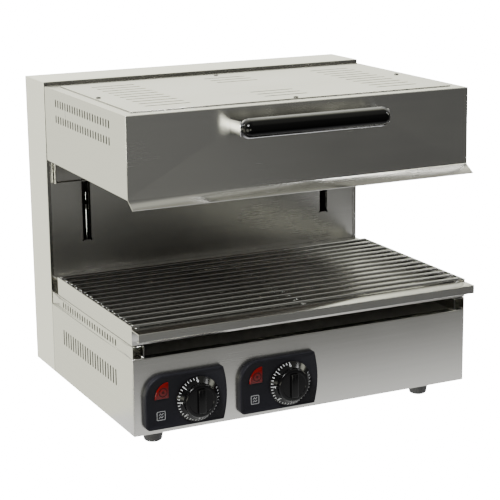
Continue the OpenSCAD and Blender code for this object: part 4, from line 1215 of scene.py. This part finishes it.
class MELTER_OT_handle(PieceOperator, bpy.types.Operator):
    """Make the handle: gloss grip, bent strap, spacers and screws"""

    bl_idname = "melter.handle"
    bl_label = "Handle"

    def make(self, context):
        low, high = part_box("handle_grip")
        mid = (low + high) / 2
        r = (high.z - low.z) / 2
        deep = high.y - low.y
        dome = (r * r + deep * deep) / (2 * deep)
        straight = (high.x - low.x) / 2 - r
        back_edge, tip_r, steps = 0.0012, 0.0006, 16
        shoulder = back_edge * SHOULDER
        levels = [(r - back_edge, high.y), (r - shoulder, high.y - shoulder)]
        start = math.asin(max(min((dome - deep) / dome, 1.0), -1.0))
        for i in range(steps):
            a = start + (math.pi / 2 - start) * i / steps
            depth = dome * math.sin(a) - (dome - deep)
            if depth >= back_edge * 0.9:
                levels.append((dome * math.cos(a), high.y - depth))
        levels.append((tip_r, low.y))
        rings = [
            [(mid.x + c * straight + radius * math.cos(a), y, mid.z + radius * math.sin(a))
             for c, begin in ((1, -90), (-1, 90)) for a in angles(begin, begin + 180, 16)]
            for radius, y in levels
        ]
        grip = shaded("handle_grip_moulding", loft(rings), 60)
        settle_piece(grip, "handle_grip", FINISHES["grip"])
        strap = sheet_piece("handle_strap", FINISHES["strap"], least=0.012, fold=0.0012, cut=0.0005)

        # Painted shade: the strap's back, and its top behind the grip, are dark, so they throw no
        # reflection on the hood.
        def strap_stain(face):
            behind_grip = face.normal.z > 0.5 and abs(face.center.x - mid.x) < straight
            return float(face.normal.y > 0.5 or behind_grip)

        set_stain(strap, strap_stain)
        turned_piece("handle_spacers", FINISHES["black_paint"])


def screw_head(head_d, head_h, shank_d, length):
    """A domed head with a cross recess, on its shank."""
    r = head_d / 2
    rim, soft, steps = head_h * 0.4, 0.0001, 8
    dome = (r * r + (head_h - rim) ** 2) / (2 * (head_h - rim))
    arc = math.asin(r / dome)
    top = [(dome * math.sin(arc * (1 - i / steps)),
            head_h - dome + dome * math.cos(arc * (1 - i / steps))) for i in range(steps)]
    profile = [(0.0, -length), (shank_d / 2, -length), (shank_d / 2, 0.0), (r - soft, 0.0)]
    head = shaded("head_draft", lathe(profile + top + [(0.0, head_h)], 32))
    cross_long, cross_wide, floor = r * 0.55, r * 0.11, head_h * 0.35
    tools = [
        new_object("cross_draft", mesh_of("cross_draft", slab((-x, -y, floor), (x, y, head_h * 1.5))))
        for x, y in ((cross_long, cross_wide), (cross_wide, cross_long))
    ]
    made = combined("screw_pattern", "DIFFERENCE", head, tools)
    smooth(made.data, 35)
    # Painted shade: the outer ring of each head is dark, its middle stays bright.
    set_stain(made, lambda face: float(math.hypot(face.center.x, face.center.y) > 0.5 * r))
    return made


class MELTER_OT_screws(PieceOperator, bpy.types.Operator):
    """Make the cover, rear and handle screws with crossed recesses"""

    bl_idname = "melter.screws"
    bl_label = "Screws"

    def make(self, context):
        self.row("cover_screws", "Z", (0, 0, 0))
        self.row("rear_screws", "Y", (math.radians(-90), 0, math.radians(90)))
        self.row("handle_screws", "Y", (math.radians(-90), 0, 0))

    def row(self, node, axis, turn):
        spots, sizes = self.measure(node, axis)
        piece = screw_head(*sizes)
        made = grow(node + "_heads", spot_tree, points=spots, Piece=piece, Turn=turn,
                    Material=FINISHES["screw"])
        settle_piece(made, node, FINISHES["screw"])
        bpy.data.objects.remove(piece)

    def measure(self, node, axis):
        """Seat of each screw and the sizes that screw_head asks for, from the CAD node's solids."""
        rim_share, same_level = 0.98, 1e-5
        bm = whole_copy(node)
        k = "XYZ".index(axis)
        spots, sizes = [], None
        for solid in solids_of(bm):
            co = np.array([v.co for v in solid])
            low, high = co.min(0), co.max(0)
            mid = (low + high) / 2
            a, b = [i for i in range(3) if i != k]
            reach = np.hypot(co[:, a] - mid[a], co[:, b] - mid[b])
            head_r = reach.max()
            seat = co[reach > head_r * rim_share, k].min()
            shank_r = reach[np.abs(co[:, k] - low[k]) < same_level].max()
            spot = mid.copy()
            spot[k] = seat
            spots.append(tuple(spot))
            sizes = (2 * head_r, high[k] - seat, 2 * shank_r, seat - low[k])
        bm.free()
        return spots, sizes


class MELTER_OT_rear_fittings(PieceOperator, bpy.types.Operator):
    """Make the cord gland and finish the terminal block"""

    bl_idname = "melter.rear_fittings"
    bl_label = "Rear fittings"

    def make(self, context):
        turned_piece("cable_gland", FINISHES["nylon"])
        wear(frame["nodes"]["terminal_block"], FINISHES["white"])


class MELTER_OT_stage(PieceOperator, bpy.types.Operator):
    """Make the floor, the light and the camera"""

    bl_idname = "melter.stage"
    bl_label = "Stage"

    def make(self, context):
        s = context.scene.melter_stage
        self.floor(s)
        self.surround(s)
        self.card(s)
        self.soft_light("key_light", s.key, 0.9, (-1.7, -1.0, 2.3))
        self.soft_light("fill_light", s.fill, 0.7, (2.6, -0.8, 2.2))
        self.camera(context)

    def floor(self, s):
        """A pale floor that runs out of sight."""
        reach, drop = 100.0, 0.0002
        bm = bmesh.new()
        bmesh.ops.create_grid(bm, x_segments=1, y_segments=1, size=reach)
        floor = new_object("floor", mesh_of("floor", bm))
        floor.location.z = -drop
        f = Finish("pale floor", tuple(s.floor), rough=0.9)
        f.tone(f.noise(3.0), 0.985, 1.015)
        f.glow(s.glow)
        wear(floor, f.material)
        floor.visible_glossy = False
        floor.visible_diffuse = False

    def card(self, s):
        """A pale card that only shows in reflections; it fades towards its sides and far edge."""
        bm = bmesh.new()
        bmesh.ops.create_grid(bm, x_segments=1, y_segments=1, size=1.0)
        bmesh.ops.scale(bm, vec=(1.0, 0.35, 1.0), verts=bm.verts)
        card = new_object("near_card", mesh_of("near_card", bm))
        card.location = (0.3, -0.37, 0.0)
        f = Finish("card", (0.0, 0.0, 0.0), rough=1.0)
        place = f.add("ShaderNodeSeparateXYZ", {0: f.coords()}).outputs
        aside = f.add("ShaderNodeMath", {0: place["X"]}, operation="ABSOLUTE")
        near = f.spread(place["Y"], 0.0, 1.0, -0.27, 0.30)
        inside = f.spread(aside.outputs[0], 1.0, 0.0, 0.55, 0.95)
        f.glow(f.spread(f.product(near, inside), 0.08, s.card, 0.0, 1.0))
        wear(card, f.material)
        for ray in ("camera", "diffuse", "shadow", "transmission", "volume_scatter"):
            setattr(card, "visible_" + ray, False)

    def surround(self, s):
        """A plain room whose light depends only on direction: pale behind and above, dim in front."""
        world = bpy.data.worlds.new("studio")
        bpy.context.scene.world = world
        world.use_nodes = True
        room = Wiring(world.node_tree)
        way = room.add("ShaderNodeTexCoord").outputs["Generated"]

        def patch(toward, start, end, outside, inside, ease="SMOOTHSTEP"):
            dot = room.add("ShaderNodeVectorMath", {0: way}, operation="DOT_PRODUCT")
            dot.inputs[1].default_value = Vector(toward).normalized()
            return room.spread(dot.outputs["Value"], outside, inside, start, end, interpolation_type=ease)

        total = patch(*SURROUND[0])
        for row in SURROUND[1:]:
            total = room.sum(total, patch(*row))
        total = room.product(total, patch((0, 0, -1), 0.42, 0.75, 1.0, 0.15, ease="LINEAR"))
        warm = room.add("ShaderNodeMix", {"Factor": total}, data_type="RGBA")
        warm.inputs["A"].default_value = (1.0, 1.0, 1.0, 1.0)
        warm.inputs["B"].default_value = (1.0, 1.0, 0.84, 1.0)
        shade = room.add("ShaderNodeVectorMath", {0: warm.outputs["Result"], 1: total},
                         operation="MULTIPLY")
        by_camera = room.add("ShaderNodeLightPath").outputs["Is Camera Ray"]
        seen = room.add("ShaderNodeMix", {"Factor": by_camera, "A": shade.outputs[0]}, data_type="RGBA")
        seen.inputs["B"].default_value = (s.glow, s.glow, s.glow, 1.0)
        ground = room.nodes["Background"]
        ground.inputs["Strength"].default_value = s.sky
        room.links.new(seen.outputs["Result"], ground.inputs["Color"])

    def soft_light(self, name, power, size, place):
        """A square lamp that the camera doesn't see, aimed at the machine's middle."""
        aim = Vector((0, 0, 0.25))
        data = bpy.data.lights.new(name, "AREA")
        data.energy = power
        data.size = size
        light = new_object(name, data)
        light.location = place
        light.rotation_mode = "QUATERNION"
        light.rotation_quaternion = (aim - Vector(place)).to_track_quat("-Z", "Y")
        light.visible_camera = False

    def camera(self, context):
        """A long lens in front of the machine, to its left and above it, rolled by half a degree."""
        turn, dip, roll = math.radians(25.942), math.radians(13.919), math.radians(-0.610)
        look = Vector((math.sin(turn) * math.cos(dip), math.cos(turn) * math.cos(dip), -math.sin(dip)))
        right = Vector((math.cos(turn), -math.sin(turn), 0))
        up = right.cross(look)
        right_rolled = math.cos(roll) * right + math.sin(roll) * up
        up_rolled = -math.sin(roll) * right + math.cos(roll) * up
        data = bpy.data.cameras.new("camera")
        data.lens = 114.74
        data.sensor_width = 36.0
        camera = new_object("camera", data)
        target, away = Vector((-0.0085, -0.0275, 0.2538)), 2.682
        camera.matrix_world = Matrix.Translation(target - look * away) @ Matrix(
            (right_rolled, up_rolled, -look)).transposed().to_4x4()
        context.scene.camera = camera


SURROUND = [
    # direction, dot product where the patch starts and is full, brightness outside and inside it
    ((0, 1, 0), -0.1, 0.7, 0.12, 1.3),
    ((0.3, 0.85, 0.4), 0.8, 0.98, 0.0, 1.1),
    ((0, 0, 1), 0.45, 0.9, 0.0, 0.2),
    ((-1, 0.6, -0.1), 0.5, 0.95, 0.0, 0.5),
    ((0.17, -0.95, -0.25), 0.927, 0.99, 0.0, 0.1),
    ((0.3, -0.85, 0.45), 0.8, 0.97, 0.0, 0.08),
    ((-0.86, -0.41, -0.24), 0.92, 0.985, 0.0, 6.0),
    ((-0.45, -0.87, -0.1), 0.975, 0.995, 0.0, 9.0),
    ((0.46, -0.32, 0.80), 0.9, 0.985, 0.0, 0.4),
    ((0.94, -0.09, 0.29), 0.985, 0.997, 0.0, 8.0),
]


class MELTER_PT_panel(bpy.types.Panel):
    """Buttons for each group of pieces"""

    bl_idname = "MELTER_PT_panel"
    bl_label = "Cheese melter"
    bl_space_type = "VIEW_3D"
    bl_region_type = "UI"
    bl_category = "Melter"

    def draw(self, context):
        for operator in OPERATORS:
            self.layout.operator(operator.bl_idname)


SETTINGS = {
    "melter_sheet": SheetSettings, "melter_control": ControlSettings,
    "melter_grid": GridSettings, "melter_stage": StageSettings,
}
OPERATORS = [
    MELTER_OT_column, MELTER_OT_base, MELTER_OT_feet, MELTER_OT_hood, MELTER_OT_heating,
    MELTER_OT_lift, MELTER_OT_pan, MELTER_OT_grid, MELTER_OT_bezels, MELTER_OT_knobs,
    MELTER_OT_handle, MELTER_OT_screws, MELTER_OT_rear_fittings, MELTER_OT_stage,
]


def register():
    """Adds the settings, the operators and the panel."""
    for cls in [*SETTINGS.values(), *OPERATORS, MELTER_PT_panel]:
        bpy.utils.register_class(cls)
    for name, cls in SETTINGS.items():
        setattr(bpy.types.Scene, name, bpy.props.PointerProperty(type=cls))


def unregister():
    """Removes what register adds."""
    for name in SETTINGS:
        delattr(bpy.types.Scene, name)
    for cls in [MELTER_PT_panel, *OPERATORS[::-1], *SETTINGS.values()]:
        bpy.utils.unregister_class(cls)


def main():
    """Builds everything in order."""
    register()
    make_finishes()
    for operator in OPERATORS:
        group, name = operator.bl_idname.split(".")
        getattr(getattr(bpy.ops, group), name)()


if __name__ == "__main__":
    main()
